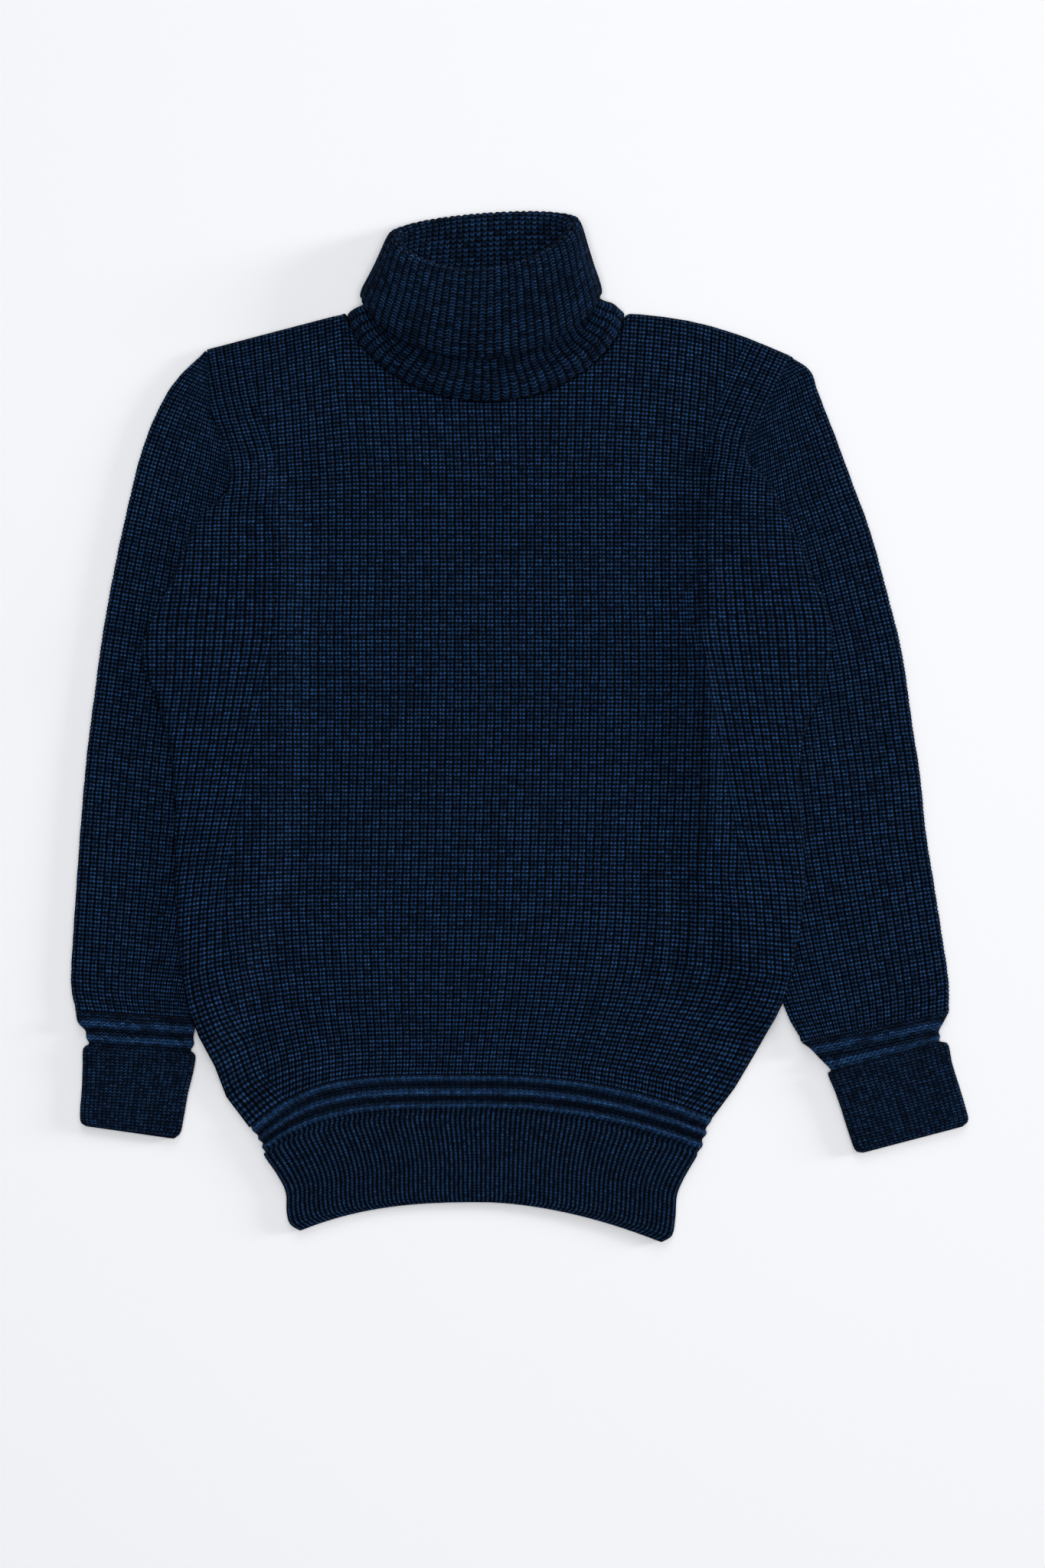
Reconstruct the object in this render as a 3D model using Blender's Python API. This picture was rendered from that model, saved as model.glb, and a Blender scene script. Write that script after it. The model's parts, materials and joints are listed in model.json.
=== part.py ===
"""Navy roll-neck sweater in heavy wool, laid flat on its back.

X runs across the body, Y from the hem to the collar and Z up from the table. The tables
and sizes are in millimetres and are turned to metres where a mesh is made. Each piece of
cloth is one closed wall with an outer and an inner face. The sleeves lie on the table and
the sides of the body lie over them. Left and right are those of the picture.
"""
import math
from collections import namedtuple

import bmesh
import bpy
from mathutils import Vector

MM = 0.001

# Cloth
STACK = 8.0              # two layers of body or sleeve, one on the other
LAYER_GAP = 1.0          # air between the two layers
MIDDLE = STACK / 2       # height of the seam between the layers
SEAM_GAP = 0.3           # between pieces that are linked together
HEM_GAP = 0.9            # under the body's last course, where both edges are bent
ARMHOLE_GAP = 1.4        # beside the armhole, whose edge is bent too
RIM = 0.6                # height left at a panel's rounded edge
EDGE_ROUND = 4.0         # how far in from a side seam the panel has its full height

# How much the front stands up between the side troughs, and where
PUFF = 2.0
PUFF_LEFT = -186.0
PUFF_RIGHT = 126.0
PUFF_LOW = -262.0
PUFF_HIGH = 180.0        # above this it is less
PUFF_LOST = 0.6          # share lost towards the neckline
PUFF_RAMP = 60.0

# Places on the body
PATCH_LEVEL = 240.0      # above this level the courses run into the neckline and shoulders
HEM_LEVEL = -268.0       # middle of the body's last course
SHOULDER_LEFT = (-240.0, 289.5)
SHOULDER_RIGHT = (208.5, 284.7)
SHOULDER_BOW = 7.0       # the right shoulder line curves up by this much
NECK_CENTRE = -25.5
NECK_HALF = 108.5
NECK_SIDE = 317.5
NECK_FRONT = 247.6
NECK_BACK = 293.6
NECK_SHAPE = 0.62        # roundness of the neckline

# Courses hang down towards the side seams near the hem
SAG_START = -50.0
SAG_RANGE = 218.0
SAG_POWER = 1.6
SAG_LEFT = 41.0
SAG_RIGHT = 33.0
BEND_LEFT = 4.5
BEND_RIGHT = 2.2

Edge = namedtuple("Edge", "y left right")
BODY_EDGES = (
    Edge(-312.0, -205.0, 143.0),
    Edge(-300.0, -214.5, 149.8),
    Edge(-286.0, -225.0, 161.0),
    Edge(-258.0, -235.3, 178.2),
    Edge(-241.0, -244.7, 186.5),
    Edge(-222.0, -252.5, 198.5),
    Edge(-199.0, -257.6, 207.0),
    Edge(-132.0, -263.5, 219.0),
    Edge(-90.0, -264.1, 218.8),
    Edge(-39.0, -265.0, 215.3),
    Edge(-12.0, -269.5, 217.5),
    Edge(18.8, -277.6, 228.8),
    Edge(37.6, -285.9, 236.0),
    Edge(51.0, -289.4, 239.0),
    Edge(64.0, -288.6, 240.0),
    Edge(90.0, -278.8, 237.5),
    Edge(113.0, -266.0, 226.0),
    Edge(141.0, -255.3, 215.0),
    Edge(163.0, -243.5, 203.5),
    Edge(173.0, -231.2, 199.4),
    Edge(183.0, -222.0, 195.0),
    Edge(192.0, -221.2, 187.0),
    Edge(203.0, -222.2, 175.0),
    Edge(220.0, -227.6, 176.4),
    Edge(240.0, -238.0, 186.7),
)

# The sleeve lies under the body out to these lines, so the body is raised there
Under = namedtuple("Under", "y left right")
SLEEVE_UNDER = (
    Under(-260.0, -256.0, 230.0),
    Under(-230.0, -249.0, 206.0),
    Under(-180.0, -229.0, 187.0),
    Under(-120.0, -211.0, 174.0),
    Under(-50.0, -200.0, 164.5),
    Under(20.0, -195.0, 159.0),
    Under(100.0, -195.5, 159.0),
    Under(140.0, -198.0, 161.5),
    Under(165.0, -204.0, 165.0),
    Under(190.0, -217.0, 170.0),
    Under(210.0, -220.0, 171.0),
    Under(245.0, -232.0, 182.0),
)
RIDE = STACK + 0.7       # height of the body's underside over a sleeve
RIDE_MARGIN = 14.0
RIDE_RAMP = 26.0
RIDE_TOP_LEFT = 189.0    # the raised side begins to sink above this
RIDE_TOP_RIGHT = 208.0
RIDE_TOP_RAMP = 30.0
RIDE_END = -243.0        # and below this
RIDE_END_RAMP = 50.0

# Soft creases of the front: heights are positive on a ridge and negative in a trough
CREASE_RAMP = 36.0       # length over which each end of a crease fades
RISE_START = -313.0      # the front's relief fades in above this
RISE_RAMP = 40.0
Crease = namedtuple("Crease", "x y_low y_high lean width height")
CREASES = (
    Crease(127.0, -225.0, 215.0, 0.02, 13.0, -1.0),
    Crease(-190.0, -215.0, -20.0, 0.03, 12.0, -0.9),
    Crease(-22.0, -290.0, -175.0, 0.02, 6.0, 1.3),
    Crease(-10.0, -285.0, -185.0, 0.03, 7.0, -0.8),
    Crease(66.0, -290.0, -120.0, -0.06, 10.0, 0.9),
    Crease(-110.0, -290.0, -150.0, 0.05, 10.0, 0.7),
)

# Sleeve courses from the armhole to the first welt of the cuff
Course = namedtuple("Course", "outer_x outer_y inner_x inner_y")
SLEEVE_LEFT = (
    Course(-240.4, 289.3, -203.0, 137.0),
    Course(-261.8, 269.4, -200.5, 120.0),
    Course(-277.1, 245.9, -198.5, 102.0),
    Course(-291.2, 210.6, -197.5, 80.0),
    Course(-302.9, 163.5, -197.0, 48.0),
    Course(-312.9, 116.5, -197.5, 15.0),
    Course(-321.2, 69.4, -199.5, -20.0),
    Course(-327.6, 22.4, -203.0, -55.0),
    Course(-333.5, -24.7, -208.0, -90.0),
    Course(-337.6, -71.8, -214.0, -122.0),
    Course(-341.0, -118.8, -222.5, -152.0),
    Course(-344.1, -165.9, -232.0, -183.0),
    Course(-345.4, -199.0, -242.0, -210.0),
    Course(-341.5, -219.0, -247.5, -225.5),
)
SLEEVE_RIGHT = (
    Course(209.2, 284.2, 164.0, 137.0),
    Course(224.6, 273.4, 162.5, 120.0),
    Course(231.0, 256.0, 161.0, 102.0),
    Course(244.1, 222.4, 160.5, 80.0),
    Course(257.1, 187.1, 160.5, 50.0),
    Course(271.0, 149.0, 161.5, 18.0),
    Course(285.0, 98.0, 163.5, -15.0),
    Course(295.4, 55.0, 166.5, -48.0),
    Course(303.3, 0.0, 171.0, -80.0),
    Course(309.0, -37.0, 176.0, -108.0),
    Course(313.6, -82.0, 182.0, -138.0),
    Course(319.4, -118.8, 188.5, -165.0),
    Course(325.5, -158.0, 196.5, -195.0),
    Course(331.0, -196.0, 206.5, -224.0),
    Course(331.0, -219.0, 217.0, -243.0),
)
SEAM_COURSES = 4         # courses over which the armhole's curve fades out of the sleeve
SEAM_LEVELS = (265.0, 240.0, 222.0, 205.0, 194.0)   # the panels have a course at each

# Cuffs: two rolled welts, then the turned band; lift is the height over a plain layer
Welt = namedtuple("Welt", "outer_x outer_y inner_x inner_y lift")
CUFF_LEFT = (
    Welt(-341.2, -219.6, -247.8, -226.1, 0.0),
    Welt(-339.5, -228.0, -249.5, -233.5, 1.3),
    Welt(-333.8, -234.5, -250.5, -239.8, -0.8),
    Welt(-333.0, -240.0, -250.2, -245.2, 1.3),
    Welt(-331.0, -244.6, -252.5, -249.8, -1.0),
    Welt(-335.6, -248.4, -248.9, -254.0, 0.8),
    Welt(-336.0, -262.0, -250.6, -266.0, 0.2),
    Welt(-336.7, -280.0, -254.8, -283.5, 0.0),
    Welt(-338.0, -297.0, -258.0, -302.0, 0.0),
    Welt(-337.2, -305.0, -260.5, -313.0, -0.3),
    Welt(-333.5, -307.8, -265.5, -317.5, -1.0),
)
CUFF_RIGHT = (
    Welt(330.9, -219.6, 217.4, -243.7, 0.0),
    Welt(326.5, -228.0, 224.0, -248.3, 1.3),
    Welt(323.0, -235.0, 229.5, -254.0, -0.8),
    Welt(324.0, -239.0, 236.0, -260.5, 1.3),
    Welt(323.5, -242.6, 240.0, -265.2, -1.0),
    Welt(330.2, -245.0, 237.6, -268.2, 0.8),
    Welt(333.2, -259.0, 243.2, -282.0, 0.2),
    Welt(338.4, -276.0, 249.0, -299.0, 0.0),
    Welt(343.8, -294.0, 254.4, -316.0, 0.0),
    Welt(345.6, -303.5, 258.6, -326.5, -0.3),
    Welt(341.5, -308.0, 264.0, -328.4, -1.0),
)

# Hem: three rolled welts, then the plain band
Band = namedtuple("Band", "mid_y left_x left_y right_x right_y bend_left bend_right lift")
HEM = (
    Band(-273.5, -206.0, -313.0, 147.5, -305.0, 4.5, 2.2, 1.3),
    Band(-279.5, -202.0, -316.5, 144.0, -310.0, 4.5, 2.2, -0.8),
    Band(-285.0, -201.5, -319.0, 144.5, -314.0, 4.3, 2.2, 1.3),
    Band(-290.0, -198.0, -322.0, 141.0, -318.5, 4.2, 2.1, -0.8),
    Band(-294.5, -198.5, -325.0, 141.5, -323.0, 4.0, 2.1, 1.3),
    Band(-299.5, -196.0, -328.5, 137.5, -328.5, 3.8, 2.1, -0.8),
    Band(-303.0, -196.5, -331.5, 136.5, -332.0, 3.6, 2.0, 0.2),
    Band(-320.0, -186.5, -346.0, 127.5, -347.5, 3.2, 2.0, 0.2),
    Band(-337.0, -180.0, -359.0, 121.8, -361.0, 3.0, 1.9, 0.0),
    Band(-353.0, -179.2, -374.0, 120.5, -378.0, 2.8, 1.8, 0.0),
    Band(-363.0, -176.5, -383.5, 118.0, -392.0, 2.6, 1.8, -0.3),
    Band(-366.3, -169.0, -388.5, 110.0, -397.3, 2.6, 1.8, -1.0),
)

# Collar: the middle of its cloth from the neck seam up to the fold and down to the free edge
COLLAR_WALL = 3.2
RIB_HEIGHT = 0.8
RIB_SIDES = 2            # columns of points to one rib
FRONT_RIBS = 29
END_RIBS = 2
BACK_RIBS = 23
Ring = namedtuple("Ring", "half centre side front back front_z back_z")
COLLAR = (
    Ring(105.5, -25.5, 316.5, 250.0, 296.0, 8.0, 1.7),
    Ring(98.0, -25.0, 321.5, 259.0, 304.0, 11.6, 4.0),
    Ring(84.5, -25.2, 328.0, 275.0, 314.0, 15.0, 6.8),
    Ring(78.5, -25.8, 340.0, 296.0, 330.0, 17.2, 7.6),
    Ring(72.5, -26.5, 356.0, 319.0, 352.0, 19.2, 8.3),
    Ring(65.8, -26.5, 380.0, 341.5, 385.5, 20.8, 8.6),
    Ring(69.3, -26.8, 387.2, 347.6, 392.2, 24.5, 5.3),
    Ring(73.6, -27.0, 381.0, 342.0, 386.0, 28.1, 1.9),
    Ring(81.2, -28.0, 356.0, 314.0, 356.0, 28.2, 1.7),
    Ring(88.6, -29.0, 339.0, 291.5, 339.0, 25.0, 1.7),
    Ring(91.2, -29.2, 331.5, 281.0, 331.5, 22.0, 1.7),
)
COLLAR_STEPS = (0, 1, 2, 3, 4, 5, 5.5, 6, 6.5, 7, 8.5, 10)
STAND_SHOWS = 2          # below this ring the stand's outer face shows its ribs
COLLAR_TILT = 0.0012     # the right end of the fold is higher: rise per millimetre, squared

# Points along a tube's section
SLEEVE_POINTS = 9
CUFF_POINTS = 7
HEM_POINTS = 19
CAP_POINTS = 2
SHOULDER_STEPS = (0.2, 0.42, 0.62, 0.82, 1.0)
NECK_STEPS = 12
SIDE_STEPS = (0.0, 1.2, EDGE_ROUND)
TOP_STEPS = (EDGE_ROUND, 1.2, 0.0)
PATCH_SHARES = (0.35, 0.7)
LEVELS = (HEM_LEVEL, -250.0, -228.0, -195.0, -150.0, -100.0, -45.0, -8.0, 22.0, 50.0,
          66.0, 90.0, 115.0, 142.0, 160.0, 172.0, 183.0, 194.0, 205.0, 222.0, PATCH_LEVEL)

# Steps for the slope of the collar's cloth, and the angle above which an edge is sharp
RING_STEP = 0.05
TURN_STEP = 0.25
SHARP_DEGREES = 50

NAVY = (0.016, 0.045, 0.11, 1.0)
DEEP_NAVY = (0.013, 0.04, 0.095, 1.0)
WOOL_ROUGHNESS = 0.92


def clear_scene():
    """Remove what the file starts with."""
    for item in list(bpy.data.objects):
        bpy.data.objects.remove(item, do_unlink=True)


def smooth(share):
    """Ease from 0 to 1, flat beyond both ends."""
    share = min(max(share, 0.0), 1.0)
    return share * share * (3.0 - 2.0 * share)


def mix(start, end, share):
    """Value part of the way from start to end."""
    return start + (end - start) * share


def along(rows, column, place, key="y"):
    """A column's value at a place, on a smooth curve through the rows."""
    places = [getattr(row, key) for row in rows]
    values = [getattr(row, column) for row in rows]
    last = len(rows) - 1
    place = min(max(place, places[0]), places[last])
    index = 0
    while index < last - 1 and place > places[index + 1]:
        index += 1
    span = places[index + 1] - places[index]
    share = (place - places[index]) / span
    slopes = []
    for at in (index, index + 1):
        low, high = max(at - 1, 0), min(at + 1, last)
        slopes.append((values[high] - values[low]) / (places[high] - places[low]) * span)
    cube, square = share ** 3, share ** 2
    return (values[index] * (2 * cube - 3 * square + 1) + slopes[0] * (cube - 2 * square + share)
            + values[index + 1] * (3 * square - 2 * cube) + slopes[1] * (cube - square))


def edge_x(side, y):
    """Where a panel's side seam or armhole is at height y."""
    if y <= PATCH_LEVEL:
        return along(BODY_EDGES, side, y)
    top = SHOULDER_LEFT if side == "left" else SHOULDER_RIGHT
    return mix(along(BODY_EDGES, side, PATCH_LEVEL), top[0],
               (y - PATCH_LEVEL) / (top[1] - PATCH_LEVEL))


def course_point(level, across):
    """Plan point on a course; across runs from -1 at the left edge to 1 at the right."""
    fall = max((SAG_START - level) / SAG_RANGE, 0.0) ** SAG_POWER
    left = edge_x("left", level - SAG_LEFT * fall)
    right = edge_x("right", level - SAG_RIGHT * fall)
    sag, bend = (SAG_LEFT, BEND_LEFT) if across < 0 else (SAG_RIGHT, BEND_RIGHT)
    return mix(left, right, (across + 1) / 2), level - sag * fall * abs(across) ** bend


def ride(x, y):
    """Height of the body's underside over the table."""
    height = 0.0
    for side, way, top in (("left", 1.0, RIDE_TOP_LEFT), ("right", -1.0, RIDE_TOP_RIGHT)):
        limit = along(SLEEVE_UNDER, side, y) + way * RIDE_MARGIN
        inward = 1.0 - smooth((x - limit) * way / RIDE_RAMP)
        upward = 1.0 - smooth((y - top) / RIDE_TOP_RAMP)
        downward = 1.0 - smooth((RIDE_END - y) / RIDE_END_RAMP)
        height = max(height, RIDE * inward * upward * downward)
    return height


def front_rise(x, y):
    """How far the front stands above a plain stack: a soft puff and the creases."""
    span = smooth((x - PUFF_LEFT) / PUFF_RAMP) * smooth((PUFF_RIGHT - x) / PUFF_RAMP)
    upward = 1.0 - PUFF_LOST * smooth((y - PUFF_HIGH) / PUFF_RAMP)
    rise = PUFF * span * smooth((y - PUFF_LOW) / PUFF_RAMP) * upward
    for crease in CREASES:
        middle = crease.x + crease.lean * (y - crease.y_low)
        low_end = smooth((y - crease.y_low) / CREASE_RAMP)
        reach = low_end * smooth((crease.y_high - y) / CREASE_RAMP)
        rise += crease.height * reach * math.exp(-((x - middle) / crease.width) ** 2)
    return rise * smooth((y - RISE_START) / RISE_RAMP)


class Column:
    """One line of points up a panel, from the hem to the neckline or shoulder."""

    def __init__(self, patch_x, top_x, top_y, side_gap):
        left, right = edge_x("left", PATCH_LEVEL), edge_x("right", PATCH_LEVEL)
        self.across = 2.0 * (patch_x - left) / (right - left) - 1.0
        self.patch_x = patch_x
        self.top_x = top_x
        self.top_y = top_y
        self.side_gap = side_gap
        self.on_shoulder = abs(top_x - NECK_CENTRE) >= NECK_HALF - 0.01


def shoulder_y(x):
    """Height of the shoulder line at x."""
    if x < NECK_CENTRE:
        share = (x - SHOULDER_LEFT[0]) / (NECK_CENTRE - NECK_HALF - SHOULDER_LEFT[0])
        return mix(SHOULDER_LEFT[1], NECK_SIDE, share)
    share = (SHOULDER_RIGHT[0] - x) / (SHOULDER_RIGHT[0] - NECK_CENTRE - NECK_HALF)
    return mix(SHOULDER_RIGHT[1], NECK_SIDE, share) + SHOULDER_BOW * math.sin(math.pi * share)


def panel_columns(neck_y):
    """The columns of a panel whose neckline reaches down to neck_y."""
    columns = []
    for way, side, top in ((1.0, "left", SHOULDER_LEFT), (-1.0, "right", SHOULDER_RIGHT)):
        neck_x = NECK_CENTRE - way * NECK_HALF
        patch_edge = edge_x(side, PATCH_LEVEL)
        run = []
        for step in SIDE_STEPS:
            x = top[0] + way * step
            run.append(Column(patch_edge + way * step, x, shoulder_y(x), step))
        for share in SHOULDER_STEPS:
            x = mix(top[0] + way * EDGE_ROUND, neck_x, share)
            patch_x = mix(patch_edge + way * EDGE_ROUND, neck_x, share)
            run.append(Column(patch_x, x, shoulder_y(x), EDGE_ROUND))
        if side == "left":
            columns.extend(run)
            for step in range(1, NECK_STEPS):
                angle = math.pi * (1.0 - step / NECK_STEPS)
                x = NECK_CENTRE + NECK_HALF * math.cos(angle)
                y = mix(NECK_SIDE, neck_y, math.sin(angle) ** (2 * NECK_SHAPE))
                columns.append(Column(x, x, y, EDGE_ROUND))
        else:
            columns.extend(reversed(run))
    return columns


def panel_plan(columns):
    """Rows of (x, y, distance to the nearest rounded edge) for a panel."""
    plan = []
    for level in LEVELS:
        row = []
        for column in columns:
            x, y = course_point(level, column.across)
            row.append((x, y, column.side_gap))
        plan.append(row)
    base_y = PATCH_LEVEL
    for kind, steps in (("share", PATCH_SHARES), ("edge", TOP_STEPS)):
        for step in steps:
            row = []
            for column in columns:
                full = column.top_y - base_y
                if kind == "share":
                    y = base_y + (full - EDGE_ROUND) * step
                else:
                    y = column.top_y - step
                x = mix(column.patch_x, column.top_x, (y - base_y) / full)
                gap = column.side_gap
                if column.on_shoulder:
                    gap = min(gap, column.top_y - y)
                row.append((x, y, gap))
            plan.append(row)
    return plan


def rounding(gap):
    """Share of the full height at a distance in from a rounded edge."""
    return math.sqrt(1.0 - (1.0 - min(gap / EDGE_ROUND, 1.0)) ** 2)


def wall_object(name, outer, inner, around, material):
    """A closed wall between two grids of points; around says that each row is a loop."""
    rows, count = len(outer), len(outer[0])
    points = [point for row in outer for point in row] + [point for row in inner for point in row]
    under = rows * count
    spans = count if around else count - 1
    faces = []
    for r in range(rows - 1):
        for c in range(spans):
            a, b = r * count + c, r * count + (c + 1) % count
            faces.append((a, b, b + count, a + count))
            faces.append((under + a, under + a + count, under + b + count, under + b))
    last = (rows - 1) * count
    for c in range(spans):
        n = (c + 1) % count
        faces.append((c, under + c, under + n, n))
        faces.append((last + c, last + n, under + last + n, under + last + c))
    if not around:
        for r in range(rows - 1):
            for c in (0, count - 1):
                a = r * count + c
                faces.append((a, a + count, under + a + count, under + a))
    mesh = bpy.data.meshes.new(name)
    mesh.from_pydata([Vector(point) * MM for point in points], [], faces)
    shape = bmesh.new()
    shape.from_mesh(mesh)
    bmesh.ops.recalc_face_normals(shape, faces=shape.faces)
    shape.to_mesh(mesh)
    shape.free()
    mesh.shade_smooth()
    mesh.set_sharp_from_angle(angle=math.radians(SHARP_DEGREES))
    mesh.materials.append(material)
    piece = bpy.data.objects.new(name, mesh)
    bpy.context.collection.objects.link(piece)
    return piece


def wool(name, colour):
    """Plain wool of one colour."""
    material = bpy.data.materials.new(name)
    material.use_nodes = True
    shader = material.node_tree.nodes["Principled BSDF"]
    shader.inputs["Base Color"].default_value = colour
    shader.inputs["Roughness"].default_value = WOOL_ROUGHNESS
    shader.inputs["Metallic"].default_value = 0.0
    return material


def build_front():
    """The front panel, which lies on top and is rounded down to the side seams."""
    plan = panel_plan(panel_columns(NECK_FRONT))
    outer, inner = [], []
    for row in plan:
        above, below = [], []
        for x, y, gap in row:
            base = ride(x, y)
            rise = front_rise(x, y) * rounding(gap)
            seam = base + MIDDLE + SEAM_GAP / 2
            top = base + STACK + rise
            above.append((x, y, seam + RIM + (top - seam - RIM) * rounding(gap)))
            inside = base + MIDDLE + LAYER_GAP / 2 + rise
            below.append((x, y, inside if gap >= EDGE_ROUND else seam))
        outer.append(above)
        inner.append(below)
    return wall_object("front", outer, inner, False, wool("wool_front", NAVY))


def build_back():
    """The back panel, flat on the table and raised at the sides over the sleeves."""
    plan = panel_plan(panel_columns(NECK_BACK))
    outer, inner = [], []
    for row in plan:
        above, below = [], []
        for x, y, gap in row:
            base = ride(x, y)
            seam = base + MIDDLE - SEAM_GAP / 2
            inside = base + MIDDLE - LAYER_GAP / 2
            above.append((x, y, inside if gap >= EDGE_ROUND else seam))
            below.append((x, y, (seam - RIM) + (base - seam + RIM) * rounding(gap)))
        outer.append(above)
        inner.append(below)
    return wall_object("back", outer, inner, False, wool("wool_back", NAVY))


def tube_loop(line, radius, lift=0.0):
    """Points round a flattened tube whose two layers follow a line in plan."""
    loop = [(x, y, MIDDLE + radius + lift) for x, y in line]
    for way, end, inner in ((-1, line[-1], line[-2]), (1, line[0], line[1])):
        length = math.hypot(end[0] - inner[0], end[1] - inner[1])
        out_x, out_y = (end[0] - inner[0]) / length, (end[1] - inner[1]) / length
        for step in range(1, CAP_POINTS + 1):
            angle = way * math.pi * (step / (CAP_POINTS + 1) - 0.5)
            reach = radius * math.cos(angle)
            height = radius * math.sin(angle)
            height += lift * max(math.sin(angle), 0.0)
            loop.append((end[0] + out_x * reach, end[1] + out_y * reach, MIDDLE + height))
        if way < 0:
            loop.extend((x, y, MIDDLE - radius) for x, y in reversed(line))
    return loop


def inset_line(start, end, count):
    """Evenly spaced plan points between two ends, held in by the tube's own radius."""
    length = math.hypot(end[0] - start[0], end[1] - start[1])
    trim = MIDDLE / length
    shares = [mix(trim, 1.0 - trim, index / (count - 1)) for index in range(count)]
    return [(mix(start[0], end[0], share), mix(start[1], end[1], share)) for share in shares]


def armhole_line(side, course):
    """Plan points of the sleeve's first course: down the armhole, then under the body."""
    way = -1.0 if side == "left" else 1.0
    lowest = RIDE_TOP_LEFT if side == "left" else RIDE_TOP_RIGHT - MIDDLE
    heights = [course.outer_y - MIDDLE] + [level for level in SEAM_LEVELS if level > lowest]
    points = [(edge_x(side, y) + way * ARMHOLE_GAP, y) for y in heights]
    start = points[-1]
    left_over = SLEEVE_POINTS - len(points)
    for step in range(1, left_over + 1):
        share = step / left_over
        points.append((mix(start[0], course.inner_x, share), mix(start[1], course.inner_y, share)))
    return points


def build_sleeve(name, side, courses):
    """A flattened tube from the armhole to the cuff, closed where it lies under the body."""
    seam = armhole_line(side, courses[0])
    straight = inset_line(courses[0][0:2], courses[0][2:4], SLEEVE_POINTS)
    bow = [(s[0] - p[0], s[1] - p[1]) for s, p in zip(seam, straight)]
    outer, inner = [], []
    for index, course in enumerate(courses):
        fade = max(1.0 - index / SEAM_COURSES, 0.0) ** 2
        line = inset_line(course[0:2], course[2:4], SLEEVE_POINTS)
        line = [(p[0] + b[0] * fade, p[1] + b[1] * fade) for p, b in zip(line, bow)]
        outer.append(tube_loop(line, STACK / 2))
        inner.append(tube_loop(line, LAYER_GAP / 2))
    return wall_object(name, outer, inner, True, wool("wool_" + name, NAVY))


def build_cuff(name, welts):
    """A cuff: its welts stand up from the tube's upper layer."""
    outer, inner = [], []
    for welt in welts:
        line = inset_line(welt[0:2], welt[2:4], CUFF_POINTS)
        outer.append(tube_loop(line, STACK / 2, welt.lift))
        inner.append(tube_loop(line, LAYER_GAP / 2))
    return wall_object(name, outer, inner, True, wool("wool_" + name, DEEP_NAVY))


def band_line(band):
    """Plan points of one row of the hem band, held in by the tube's own radius."""
    trim = 2 * MIDDLE / (band.right_x - band.left_x)
    line = []
    for index in range(HEM_POINTS):
        across = mix(-1.0 + trim, 1.0 - trim, index / (HEM_POINTS - 1))
        x = mix(band.left_x, band.right_x, (across + 1) / 2)
        low, bend = (band.left_y, band.bend_left) if across < 0 else (band.right_y, band.bend_right)
        line.append((x, mix(band.mid_y, low, abs(across) ** bend)))
    return line


def build_hem():
    """The hem band, a flattened tube with three welts along its upper edge."""
    first = []
    left, right = edge_x("left", HEM_LEVEL - SAG_LEFT), edge_x("right", HEM_LEVEL - SAG_RIGHT)
    trim = 2 * MIDDLE / (right - left)
    for index in range(HEM_POINTS):
        x, y = course_point(HEM_LEVEL, mix(-1.0 + trim, 1.0 - trim, index / (HEM_POINTS - 1)))
        first.append((x, y - HEM_GAP))
    outer = [tube_loop(first, STACK / 2)]
    inner = [tube_loop(first, LAYER_GAP / 2)]
    for band in HEM:
        line = band_line(band)
        outer.append(tube_loop(line, STACK / 2, band.lift))
        inner.append(tube_loop(line, LAYER_GAP / 2))
    return wall_object("hem_band", outer, inner, True, wool("wool_hem_band", DEEP_NAVY))


def ring_value(column, step):
    """A collar column's value between rings."""
    index = min(int(step), len(COLLAR) - 2)
    share = step - index
    values = [getattr(COLLAR[min(max(at, 0), len(COLLAR) - 1)], column)
              for at in (index - 1, index, index + 1, index + 2)]
    before, start, end, after = values
    rise_in, rise_out = (end - before) / 2, (after - start) / 2
    cube, square = share ** 3, share ** 2
    return (start * (2 * cube - 3 * square + 1) + rise_in * (cube - 2 * square + share)
            + end * (3 * square - 2 * cube) + rise_out * (cube - square))


def collar_point(step, turn):
    """Middle of the collar's cloth; turn counts ribs round from the front's left end."""
    half = ring_value("half", step)
    centre = ring_value("centre", step)
    side = ring_value("side", step)
    front_z = ring_value("front_z", step)
    back_z = ring_value("back_z", step)
    bend = (front_z - back_z) / 2
    flat = half - bend
    middle = (front_z + back_z) / 2
    turn %= FRONT_RIBS + BACK_RIBS + 2 * END_RIBS
    if turn < FRONT_RIBS:
        x, z = flat * (2 * turn / FRONT_RIBS - 1), front_z
    elif turn < FRONT_RIBS + END_RIBS:
        angle = math.pi * (0.5 - (turn - FRONT_RIBS) / END_RIBS)
        x, z = flat + bend * math.cos(angle), middle + bend * math.sin(angle)
    elif turn < FRONT_RIBS + END_RIBS + BACK_RIBS:
        x, z = flat * (1 - 2 * (turn - FRONT_RIBS - END_RIBS) / BACK_RIBS), back_z
    else:
        angle = math.pi * (0.5 + (turn - FRONT_RIBS - END_RIBS - BACK_RIBS) / END_RIBS)
        x, z = -flat + bend * math.cos(angle), middle - bend * math.sin(angle)
    depth = max(1.0 - (x / half) ** 2, 0.0) ** NECK_SHAPE
    reach = ring_value("front", step) if z >= middle else ring_value("back", step)
    tilt = COLLAR_TILT * x * (side - NECK_SIDE)
    return Vector((centre + x, mix(side, reach, depth) + tilt, z))


def collar_normal(step, turn):
    """Direction out of the stand's outer face."""
    low, high = max(step - RING_STEP, 0.0), min(step + RING_STEP, len(COLLAR) - 1)
    up = collar_point(high, turn) - collar_point(low, turn)
    round_way = collar_point(step, turn + TURN_STEP) - collar_point(step, turn - TURN_STEP)
    return round_way.cross(up).normalized()


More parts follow.
